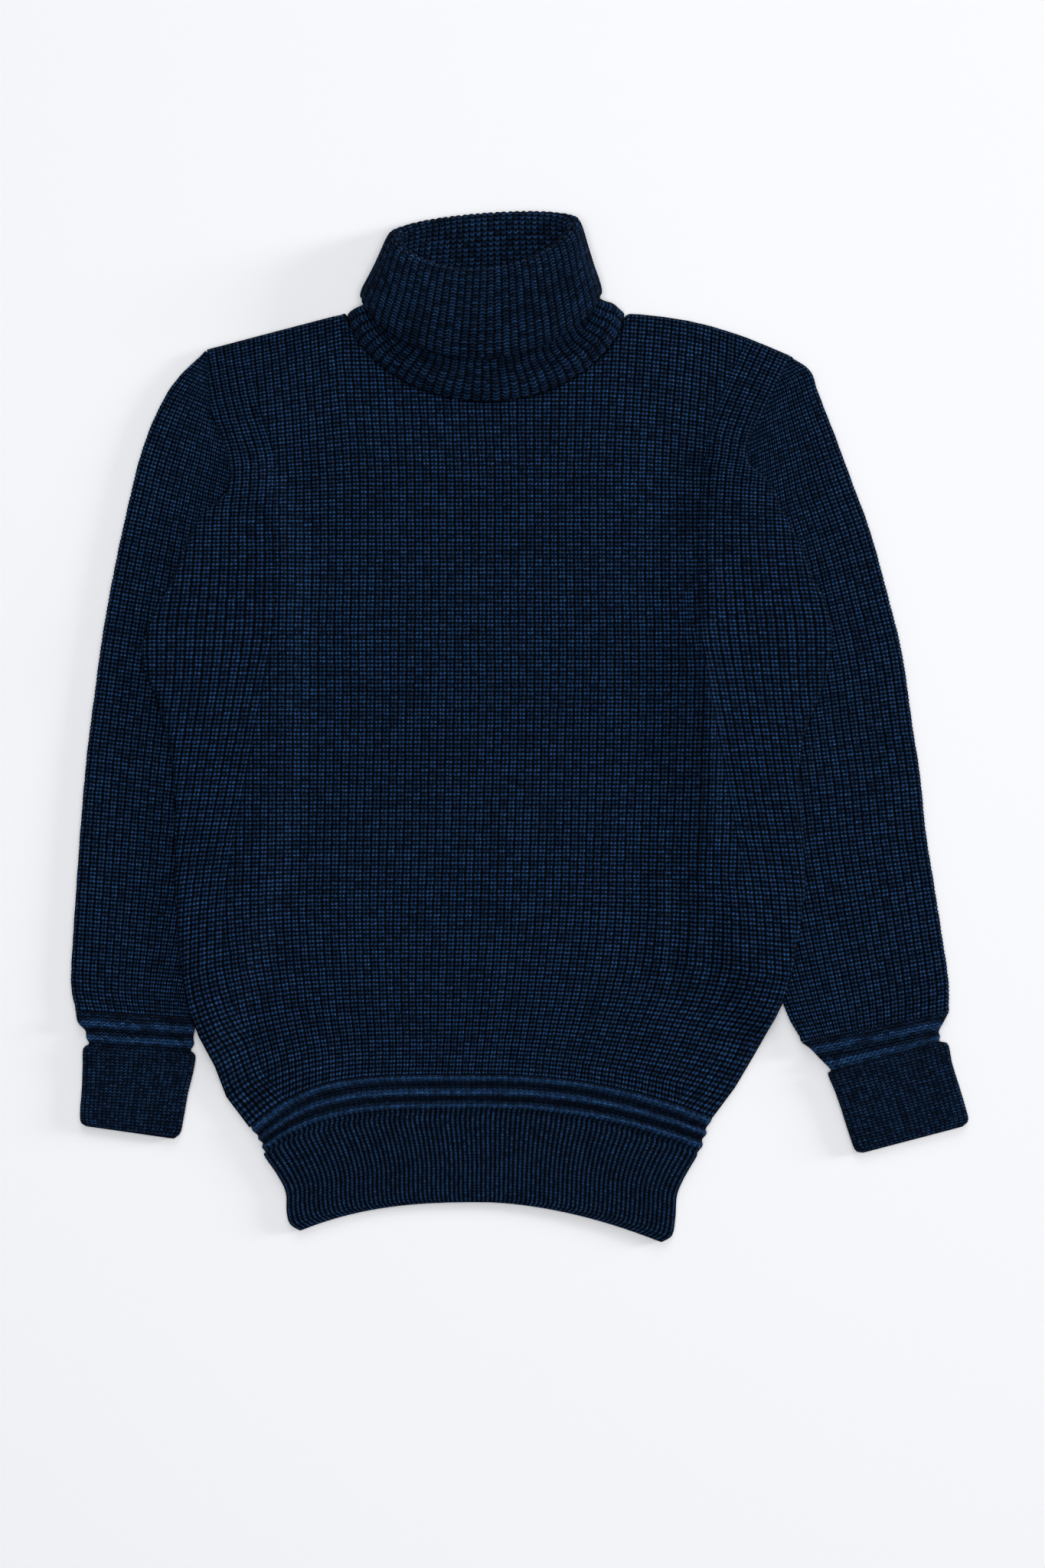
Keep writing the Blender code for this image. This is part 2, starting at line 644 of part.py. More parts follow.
def build_collar():
    """The ribbed collar: a stand that folds over at the top and turns down outside itself."""
    ribs = FRONT_RIBS + BACK_RIBS + 2 * END_RIBS
    outer, inner = [], []
    for step in COLLAR_STEPS:
        neck_side, far_side = [], []
        for index in range(ribs * RIB_SIDES):
            turn = index / RIB_SIDES
            centre = collar_point(step, turn)
            normal = collar_normal(step, turn)
            rib = RIB_HEIGHT if index % RIB_SIDES == 0 and step > 0 else 0.0
            shown = centre - normal * (COLLAR_WALL / 2 + rib)
            shown.z = max(shown.z, 0.0)
            hidden = centre + normal * (COLLAR_WALL / 2 + (rib if step < STAND_SHOWS else 0.0))
            hidden.z = max(hidden.z, 0.0)
            neck_side.append(shown)
            far_side.append(hidden)
        outer.append(neck_side)
        inner.append(far_side)
    return wall_object("collar", outer, inner, True, wool("wool_collar", DEEP_NAVY))


def main():
    """Build the sweater piece by piece, from the table up."""
    clear_scene()
    build_sleeve("sleeve_left", "left", SLEEVE_LEFT)
    build_sleeve("sleeve_right", "right", SLEEVE_RIGHT)
    build_cuff("cuff_left", CUFF_LEFT)
    build_cuff("cuff_right", CUFF_RIGHT)
    build_back()
    build_front()
    build_hem()
    build_collar()


main()
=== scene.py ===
"""Looks of a navy roll-neck sweater in heavy wool, laid flat and seen from straight above.

Every piece of cloth is a thin closed shell on the form of its solid, with the wales and
courses of its knit raised in the mesh. Sizes here are in millimetres unless a name says
otherwise, and are turned to metres where a mesh is made. X runs across the body, Y from the
hem to the collar and Z up from the floor. Left and right are those of the picture.
"""
import json
import logging
import math
from dataclasses import dataclass
from enum import Enum
from typing import NamedTuple, Optional, Sequence

import bmesh
import bpy
import numpy as np
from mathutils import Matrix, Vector

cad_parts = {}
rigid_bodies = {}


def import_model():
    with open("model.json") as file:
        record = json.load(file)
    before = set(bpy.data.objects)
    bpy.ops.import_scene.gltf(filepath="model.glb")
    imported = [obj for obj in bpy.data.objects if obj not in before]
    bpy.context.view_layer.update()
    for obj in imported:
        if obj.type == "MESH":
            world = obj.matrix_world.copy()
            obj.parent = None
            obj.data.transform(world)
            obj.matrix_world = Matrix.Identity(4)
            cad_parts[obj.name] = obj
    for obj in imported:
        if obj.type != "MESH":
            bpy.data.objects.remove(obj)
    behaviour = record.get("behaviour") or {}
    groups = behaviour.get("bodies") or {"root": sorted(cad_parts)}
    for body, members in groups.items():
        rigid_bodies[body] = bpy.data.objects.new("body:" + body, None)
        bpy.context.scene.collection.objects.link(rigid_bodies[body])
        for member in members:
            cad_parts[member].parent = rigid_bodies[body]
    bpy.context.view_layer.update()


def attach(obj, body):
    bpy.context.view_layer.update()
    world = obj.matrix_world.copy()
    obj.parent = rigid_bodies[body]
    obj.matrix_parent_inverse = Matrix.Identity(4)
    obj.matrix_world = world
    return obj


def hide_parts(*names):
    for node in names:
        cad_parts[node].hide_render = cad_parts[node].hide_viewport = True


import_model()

LOG = logging.getLogger("sweater")
MM = 0.001
BODY = "root"
SIDES = ("left", "right")
MATH = "ShaderNodeMath"

# Cloth, as in the solids
STACK = 8.0              # two layers of body or sleeve, one on the other
LAYER_GAP = 1.0          # air between the two layers
MIDDLE = STACK / 2
SEAM_GAP = 0.3
HEM_GAP = 0.2            # linked edges meet, closer than those of the solids
ARMHOLE_GAP = 0.06
RIM = 0.6                # height left at a panel's rounded edge
EDGE_ROUND = 4.0         # how far in from a side seam a panel has its full height
TINY = 1e-6
NO_LENGTH = 1e-9         # shorter than this counts as no length
WELT_ROWS = 12.0         # courses of plain welts above the ribs of a band
WELT_RAMP = 2.0          # courses over which the welts turn into ribs
PATH_POINTS = 400        # points on a line whose length is measured


def smooth(share: np.ndarray) -> np.ndarray:
    """Ease from 0 to 1, flat beyond both ends."""
    share = np.clip(share, 0.0, 1.0)
    return share * share * (3.0 - 2.0 * share)


def mix(start: np.ndarray, end: np.ndarray, share: np.ndarray) -> np.ndarray:
    """Value part of the way from start to end."""
    return start + (end - start) * share


def curve(places: np.ndarray, values: np.ndarray, at: np.ndarray) -> np.ndarray:
    """A smooth curve through a table's values.

    Args:
        places: where the values stand, rising.
        values: one value for each place.
        at: the places to read.

    Returns:
        The values there, held at both ends.
    """
    last = len(places) - 1
    at = np.clip(np.asarray(at, float), places[0], places[last])
    low = np.maximum(np.arange(last + 1) - 1, 0)
    high = np.minimum(np.arange(last + 1) + 1, last)
    slopes = (values[high] - values[low]) / (places[high] - places[low])
    index = np.clip(np.searchsorted(places, at, side="right") - 1, 0, last - 1)
    span = places[index + 1] - places[index]
    share = (at - places[index]) / span
    cube, square = share ** 3, share ** 2
    return (values[index] * (2 * cube - 3 * square + 1)
            + slopes[index] * span * (cube - 2 * square + share)
            + values[index + 1] * (3 * square - 2 * cube)
            + slopes[index + 1] * span * (cube - square))


class Table:
    """Rows with named columns, read as smooth curves."""

    def __init__(self, names: str, *rows: Sequence[float]) -> None:
        """Keep each column under its name, and the row numbers under row."""
        self.columns = dict(zip(names.split(), np.array(rows, float).T))
        self.columns["row"] = np.arange(len(rows), dtype=float)

    def at(self, column: str, place: np.ndarray, key: str = "row") -> np.ndarray:
        """A column's value at places in the key column, which may rise or fall."""
        places, values = self.columns[key], self.columns[column]
        if places[0] > places[-1]:
            places, values = places[::-1], values[::-1]
        return curve(places, values, place)

    def point(self, stem: str, place: np.ndarray) -> np.ndarray:
        """The x and y columns of one line, side by side."""
        return np.stack([self.at(stem + "_x", place), self.at(stem + "_y", place)], axis=1)

    @property
    def last(self) -> float:
        """Number of the last row."""
        return self.columns["row"][-1]


def run_lengths(path: np.ndarray) -> np.ndarray:
    """Distance along a path at each of its points."""
    steps = np.linalg.norm(np.diff(path, axis=0), axis=1)
    return np.concatenate([[0.0], np.cumsum(steps)])


def distinct(line: np.ndarray) -> np.ndarray:
    """A line of point numbers without repeats that follow one another."""
    keep = np.concatenate([[True], line[1:] != line[:-1]])
    return line[keep]


def even_steps(path: np.ndarray, places: np.ndarray, spacing: float) -> np.ndarray:
    """Places that stand evenly along a path.

    Args:
        path: points of the path, close together.
        places: the place of each of those points.
        spacing: the wanted distance from one place to the next.

    Returns:
        The places, from the first to the last one.
    """
    length = run_lengths(path)
    count = max(int(round(length[-1] / spacing)), 1)
    return np.interp(np.linspace(0.0, length[-1], count + 1), length, places)


def surface_normals(points: np.ndarray, around: bool) -> np.ndarray:
    """Unit normals of a grid of points.

    Args:
        points: rows by columns of points.
        around: whether the last column joins the first.

    Returns:
        One normal for each point, along columns crossed with rows.
    """
    if around:
        across = np.roll(points, -1, axis=1) - np.roll(points, 1, axis=1)
    else:
        across = np.gradient(points, axis=1)
    normals = np.cross(across, np.gradient(points, axis=0))
    length = np.linalg.norm(normals, axis=2, keepdims=True)
    upright = np.zeros_like(normals)
    upright[..., 2] = 1.0
    return np.where(length > NO_LENGTH, normals / np.maximum(length, NO_LENGTH), upright)


@dataclass(frozen=True)
class Knit:
    """Gauge and relief of one knitted cloth."""

    wale: float              # width of a column of stitches
    course: float            # height of a row of stitches
    valley: float            # depth of the line between two columns
    hole: float              # depth of the low row in each stitch
    wander: float = 0.35     # how far the columns wander from their line
    across: int = 3          # mesh points to a wale
    along: int = 2           # mesh points to a course

    # Uneven tension is a few sine waves on the stitch count, at odd rates
    UNEVEN = 0.25            # half of the most that it takes off a stitch's depth
    SLOW_SHARE = 0.7         # part of the wander that changes slowly
    QUICK_SHARE = 0.3

    def relief(self, wales: np.ndarray, courses: np.ndarray) -> np.ndarray:
        """Height over the cloth's own top, which is zero on a stitch and less beside it."""
        line = (0.5 + 0.5 * np.cos(2 * np.pi * wales)) ** 2
        low = 0.5 + 0.5 * np.cos(2 * np.pi * courses)
        wave = np.sin(wales * 2.7 + np.sin(courses * 0.61) * 2.0)
        uneven = 1.0 - self.UNEVEN + self.UNEVEN * wave
        return -(self.valley * line + self.hole * low * (1.0 - line)) * uneven

    def sway(self, wales: np.ndarray, courses: np.ndarray) -> np.ndarray:
        """Sideways wander of a column, as uneven hand tension gives."""
        slow = np.sin(courses * 0.11 + np.sin(wales * 0.35) * 1.7)
        quick = np.sin(courses * 0.47 + wales * 1.9)
        return self.wander * (self.SLOW_SHARE * slow + self.QUICK_SHARE * quick)


PEARL_KNIT = Knit(wale=6.1, course=3.09, valley=1.4, hole=0.9)
PLAIN_BACK = Knit(wale=6.1, course=3.09, valley=1.0, hole=0.0, across=2, along=1)
FINE_KNIT = Knit(wale=3.55, course=2.35, valley=1.2, hole=0.2, wander=0.2, across=4)
CUFF_KNIT = Knit(wale=3.55, course=2.35, valley=0.5, hole=0.3, wander=0.2, across=4)
COLLAR_RIB = Knit(wale=6.1, course=2.5, valley=1.1, hole=0.3, wander=0.0, across=6)

# Wales on the upper layer of each tube, and round each fold of a cuff or of the hem band
SLEEVE_WALES = 22
CUFF_WALES = 22
HEM_WALES = 84
BAND_FOLD = 3


class Shell:
    """A closed mesh gathered face by face, with the stitch count at each corner."""

    def __init__(self) -> None:
        """Start with no points and no faces."""
        self.points: list[np.ndarray] = []
        self.faces: list[tuple[int, ...]] = []
        self.stitches: list[tuple[float, float]] = []
        self.count = 0

    def add_points(self, points: np.ndarray) -> int:
        """Add rows of points and return the index of the first."""
        first = self.count
        flat = points.reshape(-1, 3)
        self.points.append(flat)
        self.count += len(flat)
        return first

    def add_quads(self, ids: np.ndarray, wales: np.ndarray, courses: np.ndarray) -> None:
        """Add the faces of a grid, leaving out what is drawn together to a point.

        Args:
            ids: point numbers, with a last row or column repeated where the grid closes,
                and -1 where there is no cloth.
            wales: stitch count across at each of those points.
            courses: stitch count up at each of those points.
        """
        corners = ((0, 0), (0, 1), (1, 1), (1, 0))
        rows, columns = ids.shape
        cut = [(slice(r, rows - 1 + r), slice(c, columns - 1 + c)) for r, c in corners]
        quads = np.stack([ids[part].ravel() for part in cut], axis=1)
        u = np.stack([wales[part].ravel() for part in cut], axis=1)
        v = np.stack([courses[part].ravel() for part in cut], axis=1)
        cloth = (quads >= 0).all(axis=1)
        quads, u, v = quads[cloth], u[cloth], v[cloth]
        doubled = quads == np.roll(quads, -1, axis=1)
        whole = ~doubled.any(axis=1)
        self.faces.extend(map(tuple, quads[whole].tolist()))
        pairs = np.stack([u[whole], v[whole]], axis=2).reshape(-1, 2)
        self.stitches.extend(map(tuple, pairs.tolist()))
        for index in np.nonzero(~whole)[0]:
            kept = [corner for corner in range(4) if not doubled[index, corner]]
            if len(kept) == 3 and len(set(quads[index, kept])) == 3:
                self.faces.append(tuple(int(quads[index, corner]) for corner in kept))
                self.stitches.extend((u[index, corner], v[index, corner]) for corner in kept)

    def add_closed(self, grid: np.ndarray, wales: np.ndarray, courses: np.ndarray) -> None:
        """Add a grid that closes both ways.

        Args:
            grid: rows by columns of points.
            wales: stitch count of each column, then of the first one when round again.
            courses: stitch count of each row, then of the first one.
        """
        first = self.add_points(grid)
        ids = first + np.arange(grid.shape[0] * grid.shape[1]).reshape(grid.shape[:2])
        ids = np.concatenate([ids, ids[:1]])
        ids = np.concatenate([ids, ids[:, :1]], axis=1)
        self.add_quads(ids, *np.meshgrid(wales, courses))

    def zip_lines(self, first: np.ndarray, second: np.ndarray, counts: np.ndarray) -> None:
        """Join two lines of points that run side by side with triangles.

        Args:
            first: point numbers along one line.
            second: point numbers along the other.
            counts: wale and course count of every point of the shell.
        """
        points = np.concatenate(self.points)
        shares = []
        for line in (first, second):
            length = run_lengths(points[line])
            shares.append(length / max(length[-1], NO_LENGTH))
        i = j = 0
        while i < len(first) - 1 or j < len(second) - 1:
            on_first = j == len(second) - 1 or (
                i < len(first) - 1 and shares[0][i + 1] <= shares[1][j + 1])
            if on_first:
                face = (first[i], first[i + 1], second[j])
                i += 1
            else:
                face = (first[i], second[j + 1], second[j])
                j += 1
            if len(set(face)) == 3:
                self.faces.append(tuple(int(corner) for corner in face))
                self.stitches.extend(tuple(counts[corner]) for corner in face)

    def build(self, name: str, material: bpy.types.Material) -> bpy.types.Object:
        """Make the object, with its faces turned outwards.

        Args:
            name: the object's name.
            material: its finish.

        Returns:
            The object, linked to the scene.
        """
        points = np.concatenate(self.points)
        used = np.unique(np.fromiter((c for face in self.faces for c in face), int))
        place = np.full(len(points), -1)
        place[used] = np.arange(len(used))
        faces = [tuple(place[c] for c in face) for face in self.faces]
        mesh = bpy.data.meshes.new(name)
        mesh.from_pydata((points[used] * MM).tolist(), [], faces)
        layer = mesh.uv_layers.new(name=Wool.STITCH_MAP)
        layer.data.foreach_set("uv", np.array(self.stitches, np.float32).ravel())
        shape = bmesh.new()
        shape.from_mesh(mesh)
        bmesh.ops.recalc_face_normals(shape, faces=shape.faces)
        shape.to_mesh(mesh)
        shape.free()
        mesh.shade_smooth()
        mesh.materials.append(material)
        piece = bpy.data.objects.new(name, mesh)
        bpy.context.collection.objects.link(piece)
        return piece


@dataclass(frozen=True)
class Cut:
    """Flat size of a piece before it was linked and laid down, all round on a tube."""

    width: float
    length: float
    area: float

    @property
    def flat(self) -> tuple[float, float]:
        """Width and length in metres."""
        return (self.width * MM, self.length * MM)

    @property
    def square_metres(self) -> float:
        """Area in square metres."""
        return self.area * MM * MM


def outline_area(outline: np.ndarray) -> float:
    """Area inside a closed outline in plan."""
    after = np.roll(outline, -1, axis=0)
    turns = outline[:, 0] * after[:, 1] - after[:, 0] * outline[:, 1]
    return abs(float(turns.sum())) / 2


def path_length(path: np.ndarray) -> float:
    """Length of a line of points."""
    return float(np.linalg.norm(np.diff(path, axis=0), axis=1).sum())


def hex_to_linear(code: str) -> tuple[float, float, float, float]:
    """An sRGB hex colour as linear light, with full alpha."""
    parts = [int(code[place:place + 2], 16) / 255.0 for place in (1, 3, 5)]
    linear = [c / 12.92 if c <= 0.04045 else ((c + 0.055) / 1.055) ** 2.4 for c in parts]
    return (linear[0], linear[1], linear[2], 1.0)


def add_node(tree: bpy.types.NodeTree, kind: str, settings: Optional[dict] = None,
             values: Optional[dict] = None, links: Optional[dict] = None) -> bpy.types.Node:
    """Add one node with its settings, its socket values and what feeds its sockets.

    Args:
        tree: the node tree.
        kind: the node's type name.
        settings: properties of the node by name.
        values: input values by socket name or number.
        links: output sockets that feed inputs, by socket name or number.

    Returns:
        The node.
    """
    node = tree.nodes.new(kind)
    for name, value in (settings or {}).items():
        setattr(node, name, value)
    for socket, value in (values or {}).items():
        node.inputs[socket].default_value = value
    for socket, source in (links or {}).items():
        tree.links.new(source, node.inputs[socket])
    return node


class Strength(NamedTuple):
    """How strongly each wave of a stitch shows, as shares of the whole tone; its low parts are
    painted as shade.
    """

    line: float              # dark line between two wales, painted shade in the valley there
    strand: float            # two light strands to a wale
    course: float            # bar across each course


class Stitch(Enum):
    """How a stitch looks from the right side of the cloth."""

    PEARL = Strength(line=0.10, strand=0.22, course=0.24)     # a ladder of two strands
    LEGS = Strength(line=0.26, strand=0.02, course=0.10)      # a rope of slanted legs
    RIB = Strength(line=0.12, strand=0.08, course=0.20)       # a soft rib


@dataclass(frozen=True)
class Wool:
    """Worsted wool yarn, dyed navy in the fleece and knitted.

    The fleece is dyed before spinning, so the yarn is a mottle of near hues. Fibres stand out every
    way and eat the light: the cloth is matt, with a faint bloom at a glancing angle. Its holes and
    the lines between its stitches are painted almost black as shade, where the light can't reach.
    """

    name: str
    stitch: Stitch
    yarn: str = "#08172e"        # dark fleece in the yarn
    tip: str = "#315d93"         # light fleece in the yarn
    painted_shade: str = "#010205"        # painted shade, nearly black, between and under the stitches
    wale_mm: float = PEARL_KNIT.wale
    roughness: float = 0.9
    mirror: float = 0.03         # fibres lie every way, so little mirror light is left
    bloom: float = 0.01
    scatter: float = 0.4         # how much lighter or darker one stitch is than the next
    # A band's welts get painted light on their tops and painted shade between them, placed by these
    # three.
    welt_rows: float = 0.0       # courses of plain welts, which hardly show lines of ribs
    welt_first: float = 0.0      # the course on the first welt's top
    welt_pitch: float = 1.0      # courses from one welt to the next

    STITCH_MAP = "stitches"
    MOTTLE_MM = 0.8              # length of one hue along the yarn
    FIBRE_MM = 0.35              # drawn coarser than the real 0.03 mm fibre, to show
    PATCH_MM = 60.0              # slow change of tone over the cloth
    HOLE_SHADE_POWER = 3.5                 # how fast the tone falls into the painted shade from a crest to a hollow
    MIDDLE_TONE = 0.5            # what the waves of a stitch swing about
    HALF_STITCH = 0.5            # legs meet half way across a wale, and lie half a course on
    SWERVE_WALES = 0.8           # length of one swerve of the yarn
    SWERVE = 0.11                # how far it swerves across, in wales
    SWERVE_ALONG = 1.3           # times as far along, in courses
    MOTTLE_ENDS = (0.34, 0.66)   # levels of the noise where the fleece is all dark or all light
    PATCH_ENDS = (0.3, 0.7)      # levels of the slow noise with the least and the most tone
    PATCH_TONES = (0.96, 1.04)
    FIBRE_HEIGHT = 0.25          # height of a fibre, as a share of a stitch's
    BUMP_STRENGTH = 0.9
    BUMP_MM = 0.6
    BLOOM_SPREAD = 0.5
    WELT_LINES = 0.2             # share of the ribs' dark lines, which are painted shade, that is left among welts
    # Painted light and shade along the welts. The raised form alone shows too little from above, so
    # these two are given for the welts to stand out as they should, and aren't measures of the
    # yarn: they paint light on each welt's top and shade in the hollow between two.
    WELT_PAINTED_SWING = 0.22            # painted light from the middle tone up to a welt's top, and painted shade down to the hollow
    WELT_PAINTED_LIGHT = 0.13            # painted light added to the tone all over the welts

    def build(self) -> bpy.types.Material:
        """Make the material."""
        material = bpy.data.materials.new(self.name)
        material.use_nodes = True
        tree = material.node_tree
        tree.nodes.clear()
        place = add_node(tree, "ShaderNodeTexCoord").outputs["Object"]
        cover = self.stitch_field(tree, place)
        colour = self.yarn_colour(tree, place, cover)
        fibre = add_node(tree, "ShaderNodeTexNoise", None,
                         {"Scale": 1.0 / (self.FIBRE_MM * MM), "Detail": 2.0},
                         {"Vector": place}).outputs[0]
        height = add_node(tree, MATH, {"operation": "MULTIPLY_ADD"}, {1: self.FIBRE_HEIGHT},
                          {0: fibre, 2: cover}).outputs[0]
        bump = add_node(tree, "ShaderNodeBump", None,
                        {"Strength": self.BUMP_STRENGTH, "Distance": self.BUMP_MM * MM},
                        {"Height": height}).outputs[0]
        shader = add_node(tree, "ShaderNodeBsdfPrincipled", None, {
            "Roughness": self.roughness,
            "Specular IOR Level": self.mirror,
            "Sheen Weight": self.bloom,
            "Sheen Roughness": self.BLOOM_SPREAD,
        }, {"Base Color": colour, "Normal": bump})
        add_node(tree, "ShaderNodeOutputMaterial", None, None,
                 {"Surface": shader.outputs[0]})
        return material

    def stitch_field(self, tree: bpy.types.NodeTree, place: bpy.types.NodeSocket
                     ) -> bpy.types.NodeSocket:
        """How near the yarn lies to the top of the cloth: the bump's height and the mask of the
        painted shade.

        Args:
            tree: the material's nodes.
            place: place on the object.

        Returns:
            From 0 in the deepest hole to 1 where the yarn bends over a stitch, with the painted
            light and shade of any welts added.
        """
        count = add_node(tree, "ShaderNodeUVMap", {"uv_map": self.STITCH_MAP}).outputs[0]
        split = add_node(tree, "ShaderNodeSeparateXYZ", None, None, {0: count})
        uneven = add_node(tree, "ShaderNodeTexNoise", None,
                          {"Scale": 1.0 / (self.wale_mm * self.SWERVE_WALES * MM),
                           "Detail": 1.0},
                          {"Vector": place}).outputs[0]
        lean = add_node(tree, "ShaderNodeMapRange", {"clamp": False},
                        {"To Min": -self.SWERVE, "To Max": self.SWERVE},
                        {"Value": uneven}).outputs[0]
        wale = add_node(tree, MATH, {"operation": "ADD"}, None,
                        {0: split.outputs[0], 1: lean}).outputs[0]
        rise = add_node(tree, MATH, {"operation": "MULTIPLY_ADD"}, {1: self.SWERVE_ALONG},
                        {0: lean, 2: split.outputs[1]}).outputs[0]
        if self.stitch is not Stitch.PEARL:
            slant = add_node(tree, MATH, {"operation": "PINGPONG"}, {1: self.HALF_STITCH},
                             {0: wale}).outputs[0]
            slanted = add_node(tree, MATH, {"operation": "ADD"}, None,
                               {0: rise, 1: slant}).outputs[0]
            rise = add_node(tree, MATH, {"operation": "SUBTRACT"}, {1: self.HALF_STITCH},
                            {0: slanted}).outputs[0]
        ribbed = add_node(tree, "ShaderNodeMapRange", None,
                          {"From Min": self.welt_rows - WELT_RAMP,
                           "From Max": self.welt_rows, "To Min": self.WELT_LINES},
                          {"Value": split.outputs[1]}).outputs[0]
        strength = self.stitch.value
        cover = None
        for where, turns, height, share in ((wale, 1.0, strength.line, ribbed),
                                            (wale, 2.0, strength.strand, None),
                                            (rise, 1.0, strength.course, None)):
            angle = add_node(tree, MATH, {"operation": "MULTIPLY"},
                             {1: 2.0 * math.pi * turns}, {0: where}).outputs[0]
            swing = add_node(tree, MATH, {"operation": "COSINE"}, None,
                             {0: angle}).outputs[0]
            if share is not None:
                swing = add_node(tree, MATH, {"operation": "MULTIPLY"}, None,
                                 {0: swing, 1: share}).outputs[0]
            links = {0: swing} if cover is None else {0: swing, 2: cover}
            cover = add_node(tree, MATH, {"operation": "MULTIPLY_ADD"},
                             {1: -height, 2: self.MIDDLE_TONE}, links).outputs[0]
        # Painted light on each welt's top and painted shade in the hollow between two welts, along
        # the course count.
        if self.welt_rows:
            among = add_node(tree, MATH, {"operation": "SUBTRACT"}, {0: 1.0},
                             {1: ribbed}).outputs[0]
            turn = add_node(tree, MATH, {"operation": "SUBTRACT"}, {1: self.welt_first},
                            {0: split.outputs[1]}).outputs[0]
            angle = add_node(tree, MATH, {"operation": "MULTIPLY"},
                             {1: 2.0 * math.pi / self.welt_pitch}, {0: turn}).outputs[0]
            swing = add_node(tree, MATH, {"operation": "COSINE"}, None,
                             {0: angle}).outputs[0]
            height = add_node(tree, MATH, {"operation": "MULTIPLY_ADD"},
                              {1: self.WELT_PAINTED_SWING, 2: self.WELT_PAINTED_LIGHT}, {0: swing}).outputs[0]
            cover = add_node(tree, MATH, {"operation": "MULTIPLY_ADD"}, None,
                             {0: height, 1: among, 2: cover}).outputs[0]
        return add_node(tree, "ShaderNodeClamp", None, None, {"Value": cover}).outputs[0]

    def yarn_colour(self, tree: bpy.types.NodeTree, place: bpy.types.NodeSocket,
                    cover: bpy.types.NodeSocket) -> bpy.types.NodeSocket:
        """Colour of the mottled yarn, painted dark as shade in the holes and its own where it bends
        over.

        Args:
            tree: the material's nodes.
            place: place on the object.
            cover: 0 in the deepest hole, 1 on top of a stitch.

        Returns:
            The colour socket.
        """
        mottle = add_node(tree, "ShaderNodeTexNoise", None,
                          {"Scale": 1.0 / (self.MOTTLE_MM * MM), "Detail": 2.0},
                          {"Vector": place}).outputs[0]
        share = add_node(tree, "ShaderNodeMapRange", None,
                         {"From Min": self.MOTTLE_ENDS[0], "From Max": self.MOTTLE_ENDS[1]},
                         {"Value": mottle}).outputs[0]
        yarn = add_node(tree, "ShaderNodeMix", {"data_type": "RGBA"},
                        {6: hex_to_linear(self.yarn), 7: hex_to_linear(self.tip)},
                        {0: share}).outputs[2]
        patch = add_node(tree, "ShaderNodeTexNoise", None,
                         {"Scale": 1.0 / (self.PATCH_MM * MM), "Detail": 1.0},
                         {"Vector": place}).outputs[0]
        tone = add_node(tree, "ShaderNodeMapRange", None,
                        {"From Min": self.PATCH_ENDS[0], "From Max": self.PATCH_ENDS[1],
                         "To Min": self.PATCH_TONES[0], "To Max": self.PATCH_TONES[1]},
                        {"Value": patch}).outputs[0]
        count = add_node(tree, "ShaderNodeUVMap", {"uv_map": self.STITCH_MAP}).outputs[0]
        stitch = add_node(tree, "ShaderNodeVectorMath", {"operation": "FLOOR"}, None,
                          {0: count}).outputs[0]
        chance = add_node(tree, "ShaderNodeTexWhiteNoise", {"noise_dimensions": "2D"}, None,
                          {"Vector": stitch}).outputs[0]
        uneven = add_node(tree, "ShaderNodeMapRange", None,
                          {"To Min": 1.0 - self.scatter, "To Max": 1.0 + self.scatter},
                          {"Value": chance}).outputs[0]
        tone = add_node(tree, MATH, {"operation": "MULTIPLY"}, None,
                        {0: tone, 1: uneven}).outputs[0]
        toned = add_node(tree, "ShaderNodeVectorMath", {"operation": "SCALE"}, None,
                         {0: yarn, "Scale": tone}).outputs[0]
        # Painted shade: the yarn's colour gives way to the near-black shade colour as the cover
        # falls towards a hole or a line between wales.
        lit = add_node(tree, MATH, {"operation": "POWER"}, {1: self.HOLE_SHADE_POWER},
                       {0: cover}).outputs[0]
        return add_node(tree, "ShaderNodeMix", {"data_type": "RGBA"},
                        {6: hex_to_linear(self.painted_shade)}, {0: lit, 7: toned}).outputs[2]


class SoftBox(NamedTuple):
    """A square lamp that looks at the middle of the floor, in metres and watts."""

    name: str
    place: tuple[float, float, float]
    size: float
    energy: float


